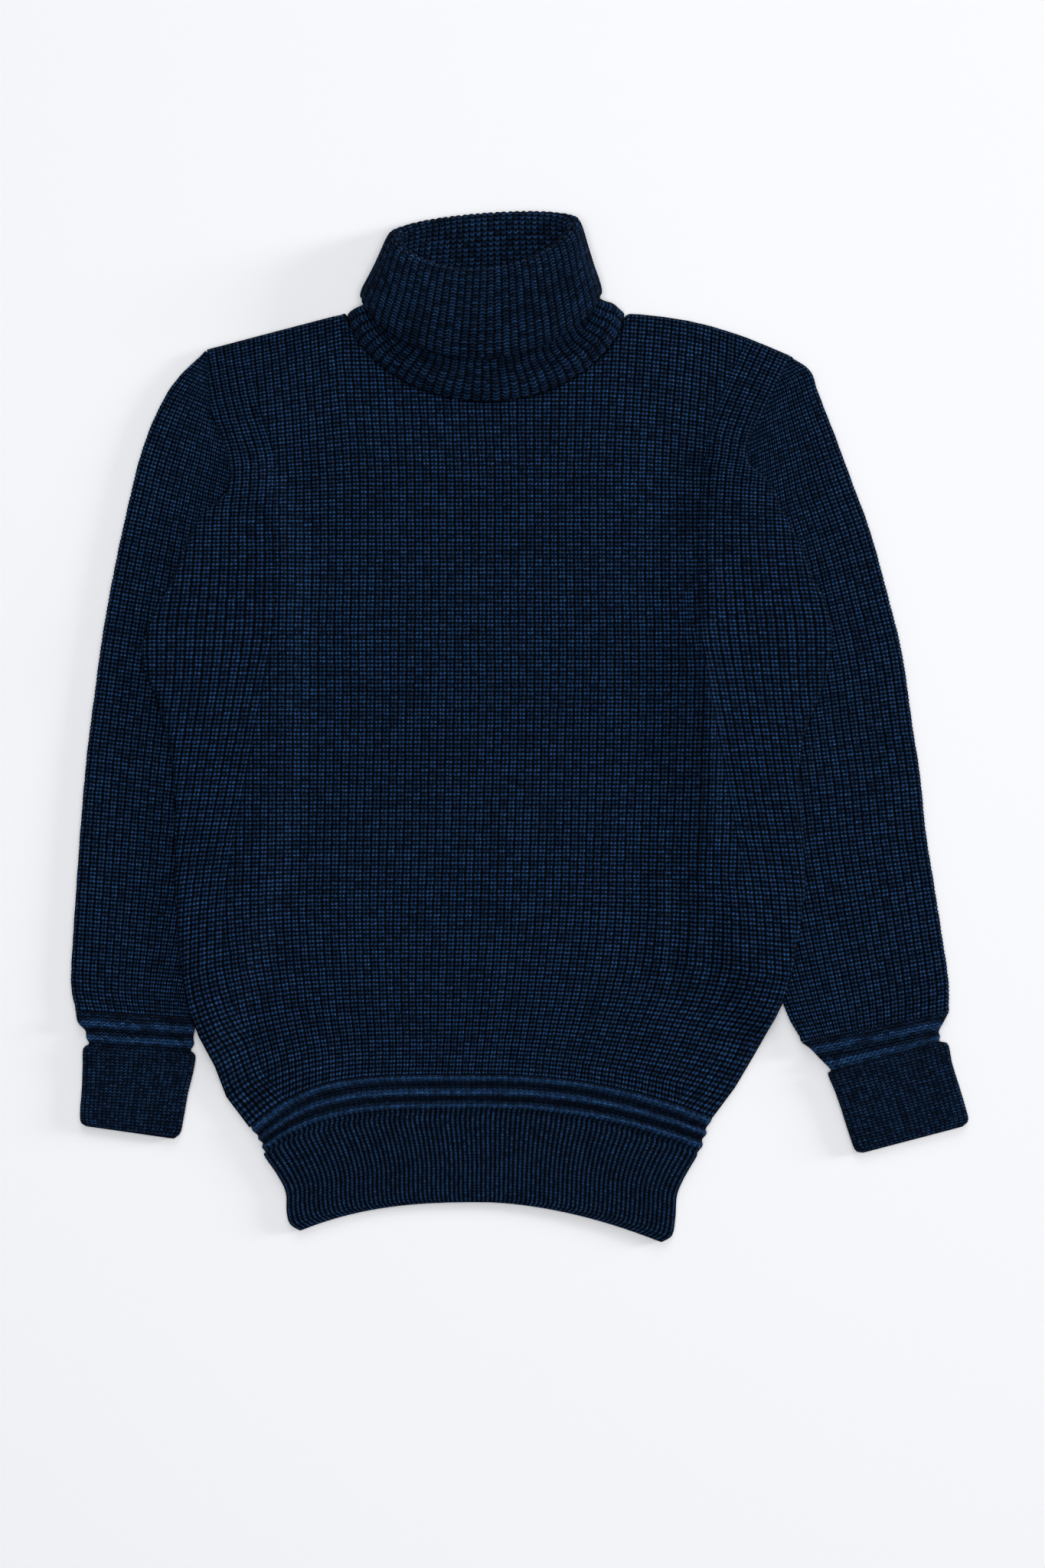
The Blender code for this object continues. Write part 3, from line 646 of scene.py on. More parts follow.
@dataclass
class Studio:
    """The floor, the soft light and the camera over it."""

    view_x: float = 2.6          # what the camera looks straight down at
    view_y: float = -44.7
    frame_height: float = 1204.7     # height of the picture at the cloth
    cloth_top: float = 8.0
    lens: float = 85.0
    sensor: float = 36.0
    floor_size: float = 6000.0
    floor_colour: str = "#f3f4f7"
    floor_roughness: float = 0.95
    floor_mirror: float = 0.1
    sky: float = 0.14
    sky_colour: tuple[float, float, float, float] = (0.985, 0.99, 1.0, 1.0)

    # One overhead, one beyond the collar, and a low strong one at the right
    LAMPS = (
        SoftBox("overhead", (0.0, -0.2, 4.6), 3.2, 144.0),
        SoftBox("key", (0.4, 5.6, 4.4), 4.2, 148.0),
        SoftBox("fill", (6.4, 1.2, 1.5), 1.6, 290.0),
    )

    def build(self) -> None:
        """Make the floor, the lights and the camera."""
        scene = bpy.context.scene
        scene.view_settings.view_transform = "Standard"
        world = bpy.data.worlds.new("studio")
        world.use_nodes = True
        background = world.node_tree.nodes["Background"]
        background.inputs["Color"].default_value = self.sky_colour
        background.inputs["Strength"].default_value = self.sky
        scene.world = world
        self.add_floor()
        self.add_lights()
        self.add_camera()

    def add_floor(self) -> None:
        """A plain sheet of pale paper under the cloth."""
        half = self.floor_size / 2 * MM
        mesh = bpy.data.meshes.new("floor")
        corners = [(-half, -half, 0), (half, -half, 0), (half, half, 0), (-half, half, 0)]
        mesh.from_pydata(corners, [], [(0, 1, 2, 3)])
        floor = bpy.data.objects.new("floor", mesh)
        bpy.context.collection.objects.link(floor)
        material = bpy.data.materials.new("pale_paper")
        material.use_nodes = True
        shader = material.node_tree.nodes["Principled BSDF"]
        shader.inputs["Base Color"].default_value = hex_to_linear(self.floor_colour)
        shader.inputs["Roughness"].default_value = self.floor_roughness
        shader.inputs["Specular IOR Level"].default_value = self.floor_mirror
        mesh.materials.append(material)

    def add_lights(self) -> None:
        """The soft boxes, each turned to the middle of the floor."""
        for box in self.LAMPS:
            light = bpy.data.lights.new(box.name, "AREA")
            light.shape = "SQUARE"
            light.size = box.size
            light.energy = box.energy
            lamp = bpy.data.objects.new(box.name, light)
            lamp.location = box.place
            aim = Vector((0.0, 0.0, 0.0)) - Vector(box.place)
            lamp.rotation_euler = aim.to_track_quat("-Z", "Y").to_euler()
            bpy.context.collection.objects.link(lamp)

    def add_camera(self) -> None:
        """A camera that looks straight down, with the picture's frame."""
        camera = bpy.data.cameras.new("camera")
        camera.lens = self.lens
        camera.sensor_width = self.sensor
        viewer = bpy.data.objects.new("camera", camera)
        distance = self.frame_height * self.lens / self.sensor
        height = self.cloth_top + distance
        viewer.location = (self.view_x * MM, self.view_y * MM, height * MM)
        bpy.context.collection.objects.link(viewer)
        bpy.context.scene.camera = viewer


@dataclass
class BodyForm:
    """Outline and heights of the body, which the front and the back share."""

    patch_level: float = 240.0
    hem_level: float = -268.0
    link_level: float = 176.0    # above this the side edges are linked to the sleeves
    link_ramp: float = 14.0
    link_depth: float = 4.5      # how far in from a linked edge the stitches are drawn flat
    hem_link: float = 1.5        # courses over which they are at the hem
    shoulder_left: tuple[float, float] = (-240.0, 289.5)
    shoulder_right: tuple[float, float] = (208.5, 284.7)
    shoulder_bow: float = 7.0
    neck_centre: float = -25.5
    neck_half: float = 108.5
    neck_side: float = 317.5
    neck_front: float = 247.6
    neck_back: float = 293.6
    neck_shape: float = 0.62
    sag_start: float = -50.0
    sag_range: float = 218.0
    sag_power: float = 1.6
    sag_left: float = 41.0
    sag_right: float = 33.0
    bend_left: float = 4.5
    bend_right: float = 2.2
    # Columns of stitches: the outer ones, the cords, follow a line of their own, and the rest
    # are cut off at them
    half_wales: int = 38
    side_wales: int = 5
    beyond_wales: int = 10       # below the armholes the body is wider by these
    side_spread: float = 3.0     # power by which the wales widen towards the sides
    # Above the chest the wales fan out from a middle line
    fan_level: float = 185.0
    fan_start: float = 25.0
    fan_middle: float = 13.0
    fan_width: float = 60.0
    fan_slope: float = 0.08
    cord_relief: float = 0.7     # how much deeper the knit is among the cords
    cord_low: float = 20.0       # the cords fade out from here up to full depth
    cord_ramp: float = 90.0
    tilt_start: float = 110.0    # the courses begin to lean towards the shoulder line
    tilt_power: float = 1.7
    # Where the body is raised over the sleeves
    ride_height: float = STACK + 0.7
    ride_margin: float = 14.0
    ride_ramp: float = 26.0
    ride_top_left: float = 189.0
    ride_top_right: float = 208.0
    ride_top_ramp: float = 30.0
    ride_end: float = -243.0
    ride_end_ramp: float = 50.0
    # How much the front stands up between the side troughs, and where
    puff: float = 2.0
    puff_left: float = -186.0
    puff_right: float = 126.0
    puff_low: float = -262.0
    puff_high: float = 180.0
    puff_lost: float = 0.6
    puff_ramp: float = 60.0
    crease_ramp: float = 36.0
    crease_bend: float = 0.35    # how far a crease bends, as a share of its width
    crease_turn: float = 0.023   # how fast, in radians a millimetre
    crease_uneven: float = 0.2   # half of the most that its height is less at some places
    crease_beat: float = 0.041
    crease_phase: float = 0.7
    rise_start: float = -313.0
    rise_ramp: float = 40.0
    inner_sink: float = 0.3      # most that the front's hidden face sinks in a trough
    outer_sink: float = 2.1      # most that its outer face does

    EDGES = Table(
        "y left right",
        (-312.0, -205.0, 143.0),
        (-300.0, -214.5, 149.8),
        (-286.0, -225.0, 161.0),
        (-258.0, -235.3, 178.2),
        (-241.0, -244.7, 186.5),
        (-222.0, -252.5, 198.5),
        (-199.0, -257.6, 207.0),
        (-132.0, -263.5, 219.0),
        (-90.0, -264.1, 218.8),
        (-39.0, -265.0, 215.3),
        (-12.0, -269.5, 217.5),
        (18.8, -277.6, 228.8),
        (37.6, -285.9, 236.0),
        (51.0, -289.4, 239.0),
        (64.0, -288.6, 240.0),
        (90.0, -278.8, 237.5),
        (113.0, -266.0, 226.0),
        (141.0, -255.3, 215.0),
        (163.0, -243.5, 203.5),
        (173.0, -231.2, 199.4),
        (183.0, -222.0, 195.0),
        (192.0, -221.2, 187.0),
        (203.0, -222.2, 175.0),
        (220.0, -227.6, 176.4),
        (240.0, -238.0, 186.7),
    )
    # Line of the middle wale, and the widths of a wale at the middle and at the sides
    WALES = Table(
        "y axis middle side",
        (-300.0, -42.0, 5.1, 5.6),
        (-254.0, -38.0, 5.15, 5.9),
        (-207.0, -34.0, 5.65, 6.4),
        (-148.0, -30.0, 6.05, 6.2),
        (-90.0, -28.0, 6.1, 6.3),
        (28.0, -25.0, 6.15, 6.8),
        (75.0, -25.0, 6.15, 7.4),
        (110.0, -25.0, 6.1, 7.0),
        (190.0, -25.0, 6.1, 6.3),
        (317.0, -25.0, 6.1, 6.2),
    )
    # Outer line of the cords, which leaves the armhole below the shoulder. Guessed below y 120
    CORDS = Table(
        "y left right",
        (-200.0, -259.0, 209.0),
        (-130.0, -256.0, 205.0),
        (-40.0, -242.0, 191.0),
        (50.0, -228.0, 178.0),
        (120.0, -222.5, 171.0),
        (160.0, -221.5, 169.5),
        (190.0, -218.5, 171.0),
        (205.0, -219.5, 173.5),
        (220.0, -224.0, 176.0),
        (240.0, -230.5, 184.0),
        (262.0, -235.5, 194.5),
        (290.0, -240.0, 208.5),
    )
    # Inner edge of the sleeves where the body lies over them
    SLEEVE_UNDER = Table(
        "y left right",
        (-260.0, -256.0, 230.0),
        (-230.0, -249.0, 206.0),
        (-180.0, -229.0, 187.0),
        (-120.0, -211.0, 174.0),
        (-50.0, -200.0, 164.5),
        (20.0, -195.0, 159.0),
        (100.0, -195.5, 159.0),
        (140.0, -198.0, 161.5),
        (165.0, -204.0, 165.0),
        (190.0, -217.0, 170.0),
        (210.0, -220.0, 171.0),
        (245.0, -232.0, 182.0),
    )
    # Creases: x, low y, high y, lean, width, height (a trough where it is negative)
    CREASES = (
        (123.5, -225.0, 175.0, 0.035, 5.5, -5.5),
        (136.5, -215.0, 140.0, 0.035, 9.0, 6.0),
        (109.0, -215.0, 150.0, 0.035, 9.0, 4.5),
        (-190.0, -215.0, -20.0, 0.03, 12.0, -1.4),
        (-22.0, -290.0, -175.0, 0.02, 6.0, 1.3),
        (-10.0, -285.0, -185.0, 0.03, 7.0, -1.1),
        (66.0, -290.0, -120.0, -0.06, 10.0, 1.1),
        (-110.0, -290.0, -150.0, 0.05, 10.0, 0.8),
        (-205.0, 120.0, 262.0, 0.02, 9.0, -1.0),
        (150.0, 130.0, 262.0, 0.1, 9.0, -1.2),
    )

    def shoulder(self, side: str) -> tuple[float, float]:
        """The outer end of a shoulder line."""
        return self.shoulder_left if side == "left" else self.shoulder_right

    def sag(self, side: str) -> float:
        """How far the last course hangs down at a side."""
        return self.sag_left if side == "left" else self.sag_right

    def hem_end(self, side: str) -> float:
        """Height of the last course at a side edge."""
        return self.hem_level - self.sag(side)

    def edge_x(self, side: str, y: np.ndarray) -> np.ndarray:
        """Where a panel's side seam or armhole is at height y."""
        top_x, top_y = self.shoulder(side)
        low = self.EDGES.at(side, np.minimum(y, self.patch_level), "y")
        share = np.clip((y - self.patch_level) / (top_y - self.patch_level), 0.0, 1.0)
        return mix(low, top_x, share)

    def cord_x(self, side: str, y: np.ndarray) -> np.ndarray:
        """Outer line of the cords, never beyond the panel's edge."""
        edge = self.edge_x(side, y)
        line = self.CORDS.at(side, y, "y")
        return np.maximum(line, edge) if side == "left" else np.minimum(line, edge)

    @property
    def widest(self) -> int:
        """Wales from the middle one to the outermost."""
        return self.half_wales + self.beyond_wales

    def ride(self, x: np.ndarray, y: np.ndarray) -> np.ndarray:
        """Height of the body's underside over the floor."""
        height = np.zeros_like(x)
        for side, way, top in (("left", 1.0, self.ride_top_left),
                               ("right", -1.0, self.ride_top_right)):
            limit = self.SLEEVE_UNDER.at(side, y, "y") + way * self.ride_margin
            inward = 1.0 - smooth((x - limit) * way / self.ride_ramp)
            upward = 1.0 - smooth((y - top) / self.ride_top_ramp)
            downward = 1.0 - smooth((self.ride_end - y) / self.ride_end_ramp)
            height = np.maximum(height, self.ride_height * inward * upward * downward)
        return height

    def rise(self, x: np.ndarray, y: np.ndarray) -> np.ndarray:
        """How far the front stands above a plain stack."""
        span = smooth((x - self.puff_left) / self.puff_ramp)
        span = span * smooth((self.puff_right - x) / self.puff_ramp)
        upward = 1.0 - self.puff_lost * smooth((y - self.puff_high) / self.puff_ramp)
        rise = self.puff * span * smooth((y - self.puff_low) / self.puff_ramp) * upward
        for start, low, high, lean, width, height in self.CREASES:
            bend = width * self.crease_bend * np.sin((y - low) * self.crease_turn + start)
            middle = start + lean * (y - low) + bend
            reach = smooth((y - low) / self.crease_ramp)
            reach = reach * smooth((high - y) / self.crease_ramp)
            beat = np.sin(y * self.crease_beat + start * self.crease_phase)
            uneven = 1.0 - self.crease_uneven + self.crease_uneven * beat
            rise = rise + height * uneven * reach * np.exp(-((x - middle) / width) ** 2)
        return rise * smooth((y - self.rise_start) / self.rise_ramp)

    def shoulder_y(self, x: np.ndarray) -> np.ndarray:
        """Height of the shoulder line at x, level across the neck."""
        left_x, left_y = self.shoulder_left
        right_x, right_y = self.shoulder_right
        neck_left = self.neck_centre - self.neck_half
        neck_right = self.neck_centre + self.neck_half
        left = mix(left_y, self.neck_side, np.clip((x - left_x) / (neck_left - left_x), 0, 1))
        share = np.clip((right_x - x) / (right_x - neck_right), 0, 1)
        right = mix(right_y, self.neck_side, share) + self.shoulder_bow * np.sin(np.pi * share)
        return np.where(x < self.neck_centre, left, right)

    def neckline(self, x: np.ndarray, neck_y: float) -> np.ndarray:
        """Height of the neckline at x, and far above the body beside it."""
        depth = 1.0 - ((x - self.neck_centre) / self.neck_half) ** 2
        inside = mix(self.neck_side, neck_y, np.maximum(depth, 0.0) ** self.neck_shape)
        return np.where(depth > 0.0, inside, 2 * self.neck_side)

    def freedom(self, side_gap: np.ndarray, y: np.ndarray, courses: np.ndarray) -> np.ndarray:
        """Share of the stitch relief that is left near the edges that are linked.

        Args:
            side_gap: distance in from the side edge.
            y: height on the body.
            courses: courses above the hem.

        Returns:
            From 0 on a linked edge to 1 away from it.
        """
        linked = smooth((y - self.link_level) / self.link_ramp)
        beside = 1.0 - linked * (1.0 - smooth(side_gap / self.link_depth))
        return beside * smooth(courses / self.hem_link)

    def rounding(self, gap: np.ndarray) -> np.ndarray:
        """Share of the full height at a distance in from a rounded edge."""
        return np.sqrt(1.0 - (1.0 - np.clip(gap / EDGE_ROUND, 0.0, 1.0)) ** 2)


@dataclass
class PanelPlan:
    """A panel's grid in plan, with the stitch count and the gaps to its edges."""

    x: np.ndarray
    y: np.ndarray
    wales: np.ndarray
    courses: np.ndarray
    side_gap: np.ndarray
    gap: np.ndarray
    ids: np.ndarray


@dataclass
class Panel:
    """The front or the back of the body."""

    name: str
    form: BodyForm
    knit: Knit
    finish: Wool
    neck_y: float
    on_top: bool
    coarse: float = 6.0          # the inner face has points this many stitches apart
    side_points: int = 120       # points on an edge of the cut's outline
    width_levels: int = 200      # levels at which its width is measured

    def plan(self, wale_step: float, course_step: float) -> PanelPlan:
        """Lay out the panel's grid.

        Args:
            wale_step: wales from one column of points to the next.
            course_step: courses from one row of points to the next.

        Returns:
            The plan, with the points beyond the outline drawn in to it.
        """
        form = self.form
        height = form.neck_side - form.hem_level
        total = round(height / self.knit.course)
        columns = round(2 * form.widest / wale_step)
        rows = round(total / course_step)
        count, courses = np.meshgrid(np.linspace(-form.widest, form.widest, columns + 1),
                                     np.linspace(0.0, total, rows + 1))
        level = form.hem_level + courses * height / total
        x, y, left, right, lost = self.place(level, count)
        wales = count + form.widest
        free = smooth((form.half_wales - np.abs(count)) / form.side_wales)
        x = x + self.knit.sway(wales, courses) * free * ~lost
        neck = form.neckline(x, self.neck_y)
        above = y > neck
        y = np.minimum(y, neck)
        side_gap = np.maximum(np.minimum(x - left, right - x), 0.0)
        beside_neck = np.abs(x - form.neck_centre) >= form.neck_half
        gap = np.where(beside_neck, np.minimum(side_gap, form.shoulder_y(x) - y), side_gap)
        ids = np.arange(x.size).reshape(x.shape)
        places = np.arange(x.shape[1])[None, :]
        left_end = np.where(x <= left + TINY, places, 0).max(axis=1)[:, None]
        right_end = np.where(x >= right - TINY, places, places.max()).min(axis=1)[:, None]
        ids = np.where(places < left_end, np.take_along_axis(ids, left_end, 1), ids)
        ids = np.where(places > right_end, np.take_along_axis(ids, right_end, 1), ids)
        inner = form.half_wales - form.side_wales
        first = int(np.nonzero(count[0] <= -inner)[0][-1])
        last = int(np.nonzero(count[0] >= inner)[0][0])
        ids = np.where(lost & (count < 0), ids[:, first:first + 1], ids)
        ids = np.where(lost & (count > 0), ids[:, last:last + 1], ids)
        first_above = np.where(above.any(axis=0), above.argmax(axis=0), x.shape[0] - 1)
        top = ids[first_above, np.arange(x.shape[1])]
        ids = np.where(above, top[None, :], ids)
        return PanelPlan(x, y, wales, courses, side_gap, np.maximum(gap, 0.0), ids)

    def place(self, level: np.ndarray, count: np.ndarray) -> tuple[np.ndarray, ...]:
        """Plan place of points on courses.

        Args:
            level: height of the course at the middle of the body.
            count: wales from the middle one, negative to the left.

        Returns:
            x, y, the x of the panel's left and right edges, and where a wale is cut off.
        """
        form = self.form
        fall = np.maximum((form.sag_start - level) / form.sag_range, 0.0) ** form.sag_power
        full = form.neck_side - form.tilt_start
        lift = (np.maximum(level - form.tilt_start, 0.0) / full) ** form.tilt_power
        ends, cords = {}, {}
        for side in SIDES:
            top = lift * (form.neck_side - form.shoulder(side)[1])
            end_y = level - form.sag(side) * fall - top
            ends[side] = form.edge_x(side, end_y)
            cords[side] = form.cord_x(side, end_y)
        left, right = ends["left"], ends["right"]
        axis = form.WALES.at("axis", level, "y")
        middle = form.WALES.at("middle", level, "y")
        outer = form.WALES.at("side", level, "y")
        way = np.where(count < 0, -1.0, 1.0)
        inner = form.half_wales - form.side_wales
        limit = np.where(count < 0, axis - cords["left"], cords["right"] - axis)
        limit = limit - form.side_wales * outer
        share = np.abs(count) / inner
        spare = np.maximum(limit - middle * inner, 0.0)
        reach = middle * np.abs(count) + spare * share ** form.side_spread
        above = np.maximum(level - form.fan_level, 0.0)
        above = above ** 2 / (above + form.fan_start)
        lean = np.tanh((axis + way * reach - form.fan_middle) / form.fan_width) * way
        reach = reach + form.fan_slope * above * lean
        among_sides = np.abs(count) >= inner
        lost = (reach >= limit) & ~among_sides
        room = np.where(count < 0, axis - left, right - axis)
        beside = np.minimum(limit + (np.abs(count) - inner) * outer, room)
        beside = np.where(np.abs(count) >= form.widest, room, beside)
        x = axis + way * np.where(among_sides, beside, np.minimum(reach, limit))
        across = 2.0 * (x - left) / (right - left) - 1.0
        top_x = mix(form.shoulder_left[0], form.shoulder_right[0], (across + 1) / 2)
        on_left = across < 0
        sag = np.where(on_left, form.sag_left, form.sag_right)
        bend = np.where(on_left, form.bend_left, form.bend_right)
        y = level - sag * fall * np.minimum(np.abs(across), 1.0) ** bend
        y = y - lift * (form.neck_side - form.shoulder_y(top_x))
        return x, y, left, right, lost

    def cut(self) -> Cut:
        """The panel's cut: the area inside its outline, neckline and hem course taken out."""
        form = self.form
        sides = {}
        for side in SIDES:
            y = np.linspace(form.hem_end(side), form.shoulder(side)[1], self.side_points)
            sides[side] = np.stack([form.edge_x(side, y), y], axis=1)
        x = np.linspace(form.shoulder_left[0], form.shoulder_right[0], 2 * self.side_points)
        top = np.stack([x, np.minimum(form.shoulder_y(x), form.neckline(x, self.neck_y))], axis=1)
        across = np.linspace(1.0, -1.0, self.side_points)
        sag = np.where(across < 0, form.sag_left * np.abs(across) ** form.bend_left,
                       form.sag_right * np.abs(across) ** form.bend_right)
        hem_x = mix(sides["left"][0, 0], sides["right"][0, 0], (across + 1) / 2)
        hem = np.stack([hem_x, form.hem_level - sag], axis=1)
        outline = np.concatenate([sides["left"], top, sides["right"][::-1], hem])
        level = np.linspace(form.hem_end("right"), form.patch_level, self.width_levels)
        width = float((form.edge_x("right", level) - form.edge_x("left", level)).max())
        return Cut(width, form.neck_side - form.hem_end("left"), outline_area(outline))

    def heights(self, plan: PanelPlan, outside: bool) -> np.ndarray:
        """Height of one face of the panel.

        Args:
            plan: where the points are.
            outside: True for the face that shows, False for the hidden one.

        Returns:
            The heights over the floor.
        """
        form = self.form
        base = form.ride(plan.x, plan.y)
        share = form.rounding(plan.gap)
        rise = form.rise(plan.x, plan.y) * share if self.on_top else 0.0
        way = 1.0 if self.on_top else -1.0
        seam = base + MIDDLE + way * SEAM_GAP / 2
        if not outside:
            inner = base + MIDDLE + way * LAYER_GAP / 2 + np.maximum(rise, -form.inner_sink)
            return np.where(plan.gap >= EDGE_ROUND, inner, seam)
        face = base + STACK + np.maximum(rise, -form.outer_sink) if self.on_top else base
        return mix(seam + way * RIM, face, share)

    def build(self) -> bpy.types.Object:
        """Make the panel: a face in full relief and a plain hidden one, joined at their edges."""
        form = self.form
        shell = Shell()
        grids, counts = [], []
        for outside, wale_step, course_step in (
                (True, 1.0 / self.knit.across, 1.0 / self.knit.along),
                (False, self.coarse / 2, self.coarse)):
            plan = self.plan(wale_step, course_step)
            points = np.stack([plan.x, plan.y, self.heights(plan, outside)], axis=2)
            if outside:
                normals = surface_normals(points, False) * (1.0 if self.on_top else -1.0)
                relief = self.knit.relief(plan.wales, plan.courses)
                relief = relief * form.freedom(plan.side_gap, plan.y, plan.courses)
                count = np.abs(plan.wales - form.widest)
                half = form.side_wales / 2
                cord = np.abs(count - form.half_wales + half) <= half
                cord = cord * smooth((plan.y - form.cord_low) / form.cord_ramp)
                relief = relief * (1.0 + form.cord_relief * cord)
                points = points + normals * relief[..., None]
            first = shell.add_points(points)
            ids = plan.ids + first
            counts.append(np.stack([plan.wales.ravel(), plan.courses.ravel()], axis=1))
            shell.add_quads(ids, plan.wales, plan.courses)
            grids.append(ids)
        every = np.concatenate(counts)
        outer, inner = grids
        for line in (lambda g: g[0], lambda g: g[:, -1], lambda g: g[-1, ::-1],
                     lambda g: g[::-1, 0]):
            shell.zip_lines(distinct(line(outer)), distinct(line(inner)), every)
        return shell.build(self.name + "_knit", self.finish.build())


@dataclass
class TubeColumns:
    """Where each column of a flattened tube lies round its section."""

    share: np.ndarray            # from 0 at the outer fold to 1 at the inner one
    angle: np.ndarray            # round a fold, from a quarter turn up to one down
    layer: np.ndarray            # 1 on the upper layer, -1 on the lower, 0 on a fold
    wales: np.ndarray

    @staticmethod
    def lay_out(top: int, fold: int, across: int, under: int) -> "TubeColumns":
        """Columns for a tube with whole wales on each layer and round each fold.

        Args:
            top: wales on the upper layer, and as many on the lower one.
            fold: wales round each fold.
            across: points to a wale on the upper layer and the folds.
            under: points to a wale on the lower layer.

        Returns:
            The columns, once round.
        """
        upper = np.arange(top * across) / (top * across)
        lower = np.arange(top * under) / (top * under)
        bend = np.arange(fold * across) / (fold * across)
        quarter = math.pi / 2
        share = [upper, np.ones_like(bend), 1.0 - lower, np.zeros_like(bend)]
        angle = [np.full_like(upper, quarter), quarter - math.pi * bend,
                 np.full_like(lower, -quarter), math.pi * bend - quarter]
        layer = [np.ones_like(upper), np.zeros_like(bend), -np.ones_like(lower),
                 np.zeros_like(bend)]
        wales = [upper * top, top + bend * fold, top + fold + lower * top,
                 2 * top + fold + bend * fold]
        return TubeColumns(*(np.concatenate(part) for part in (share, angle, layer, wales)))


@dataclass
class Tube:
    """A flattened tube of cloth whose upper and lower layer lie on each other."""

    name: str
    knit: Knit
    finish: Wool
    top_wales: int
    table: Optional[Table] = None
    fold_wales: int = 2
    under: int = 2               # points to a wale on the hidden layer
    end_courses: float = 1.5     # courses over which the stitches are drawn flat at an end
    coarse: float = 10.0         # spacing of the plain inner face's rows
    most_sink: float = 2.5       # a hollow between welts leaves the wall this much thinner
    welt_rows: float = 0.0       # courses before the ribs begin
    welt_relief: float = 0.25    # share of the ribs' depth that is left among them
    roll: float = 2.2            # how much rounder the wool's welts are than the solid's

    CUT_ROWS = 60                # rows and columns of points by which the cut is measured
    CUT_COLUMNS = 40
    OUTWARD = 0.02               # share of a row that gives its direction at an end
    PATH_SHARE = 0.4             # rows are spaced evenly along this line

    def line(self, row: np.ndarray, share: np.ndarray) -> np.ndarray:
        """Plan points of rows of the tube, between the middles of its two folds.

        Args:
            row: row numbers in the piece's table, one for each row of points.
            share: places along the row, one for each column.

        Returns:
            Rows by columns of x and y.
        """
        raise NotImplementedError

    def lift(self, row: np.ndarray) -> np.ndarray:
        """Height of the upper layer over a plain one: welts stand up and hollows sink."""
        return np.maximum(self.table.at("lift", row) * self.roll, -self.most_sink)

    def columns(self) -> TubeColumns:
        """Where the columns of points lie."""
        return TubeColumns.lay_out(self.top_wales, self.fold_wales, self.knit.across,
                                   self.under)

    @property
    def wales_round(self) -> int:
        """Wales once round the tube."""
        return 2 * (self.top_wales + self.fold_wales)

    def cut(self) -> Cut:
        """The tube's cut, all round: both layers in plan and the cloth round the two folds."""
        rows = np.linspace(0.0, self.table.last, self.CUT_ROWS)
        plan = self.line(rows, np.linspace(0.0, 1.0, self.CUT_COLUMNS))
        outline = np.concatenate([plan[0], plan[1:, -1], plan[-1, ::-1], plan[::-1, 0]])
        folds = math.pi * STACK
        width = max(path_length(row) for row in plan)
        lengths = [path_length(plan[:, column]) for column in (0, -1)]
        area = 2 * outline_area(outline) + folds * sum(lengths) / 2
        return Cut(2 * width + folds, max(lengths), area)

    def loop(self, row: np.ndarray, columns: TubeColumns, radius: float,
             lifted: bool) -> np.ndarray:
        """Points round the tube.

        Args:
            row: row numbers, one for each row of points.
            columns: where the columns lie.
            radius: half the height of this face of the tube.
            lifted: whether the face follows the lift.

        Returns:
            Rows by columns of points.
        """
        plan = self.line(row, columns.share)
        ends = self.line(row, np.array([0.0, self.OUTWARD, 1.0 - self.OUTWARD, 1.0]))
        out_first = ends[:, 0] - ends[:, 1]
        out_last = ends[:, 3] - ends[:, 2]
        out_first /= np.linalg.norm(out_first, axis=1, keepdims=True)
        out_last /= np.linalg.norm(out_last, axis=1, keepdims=True)
        first = (columns.share < 0.5)[None, :, None]
        outward = np.where(first, out_first[:, None], out_last[:, None])
        reach = (radius * np.cos(columns.angle) * (columns.layer == 0))[None, :, None]
        plan = plan + outward * reach
        rise = np.sin(columns.angle)[None, :]
        height = MIDDLE + radius * rise + np.zeros_like(row)[:, None]
        if lifted:
            height = height + self.lift(row)[:, None] * np.maximum(rise, 0.0)
        return np.concatenate([plan, height[..., None]], axis=2)

    def row_numbers(self, spacing: float) -> np.ndarray:
        """Row numbers that stand evenly along the middle of the piece."""
        places = np.linspace(0.0, self.table.last, PATH_POINTS)
        path = self.line(places, np.array([self.PATH_SHARE]))[:, 0]
        return even_steps(path, places, spacing)

    def build(self) -> bpy.types.Object:
        """Make the tube: knit outside, plain inside, and a rim at each end."""
        columns = self.columns()
        rows = self.row_numbers(self.knit.course / self.knit.along)
        plain = self.row_numbers(self.coarse)
        outer = self.loop(rows, columns, STACK / 2, True)
        inner = self.loop(plain, columns, LAYER_GAP / 2, False)
        courses = np.arange(len(rows)) / self.knit.along
        wales, ups = np.meshgrid(columns.wales, courses)
        normals = surface_normals(outer, True)
        outer_way = np.sign(np.median(normals[:, :self.top_wales, 2]))
        ends = np.minimum(ups, ups.max() - ups) / self.end_courses
        ribbed = smooth((ups - self.welt_rows + WELT_RAMP) / WELT_RAMP)
        relief = self.knit.relief(wales, ups) * smooth(ends) * mix(self.welt_relief, 1.0, ribbed)
        outer = outer + normals * outer_way * relief[..., None]
        outer[..., 2] = np.maximum(outer[..., 2], 0.0)
        back = np.interp(plain, rows, courses)
        shell = Shell()
        shell.add_closed(np.concatenate([outer, inner[::-1]]),
                         np.append(columns.wales, self.wales_round),
                         np.concatenate([courses, back[::-1], courses[:1]]))
        return shell.build(self.name + "_knit", self.finish.build())


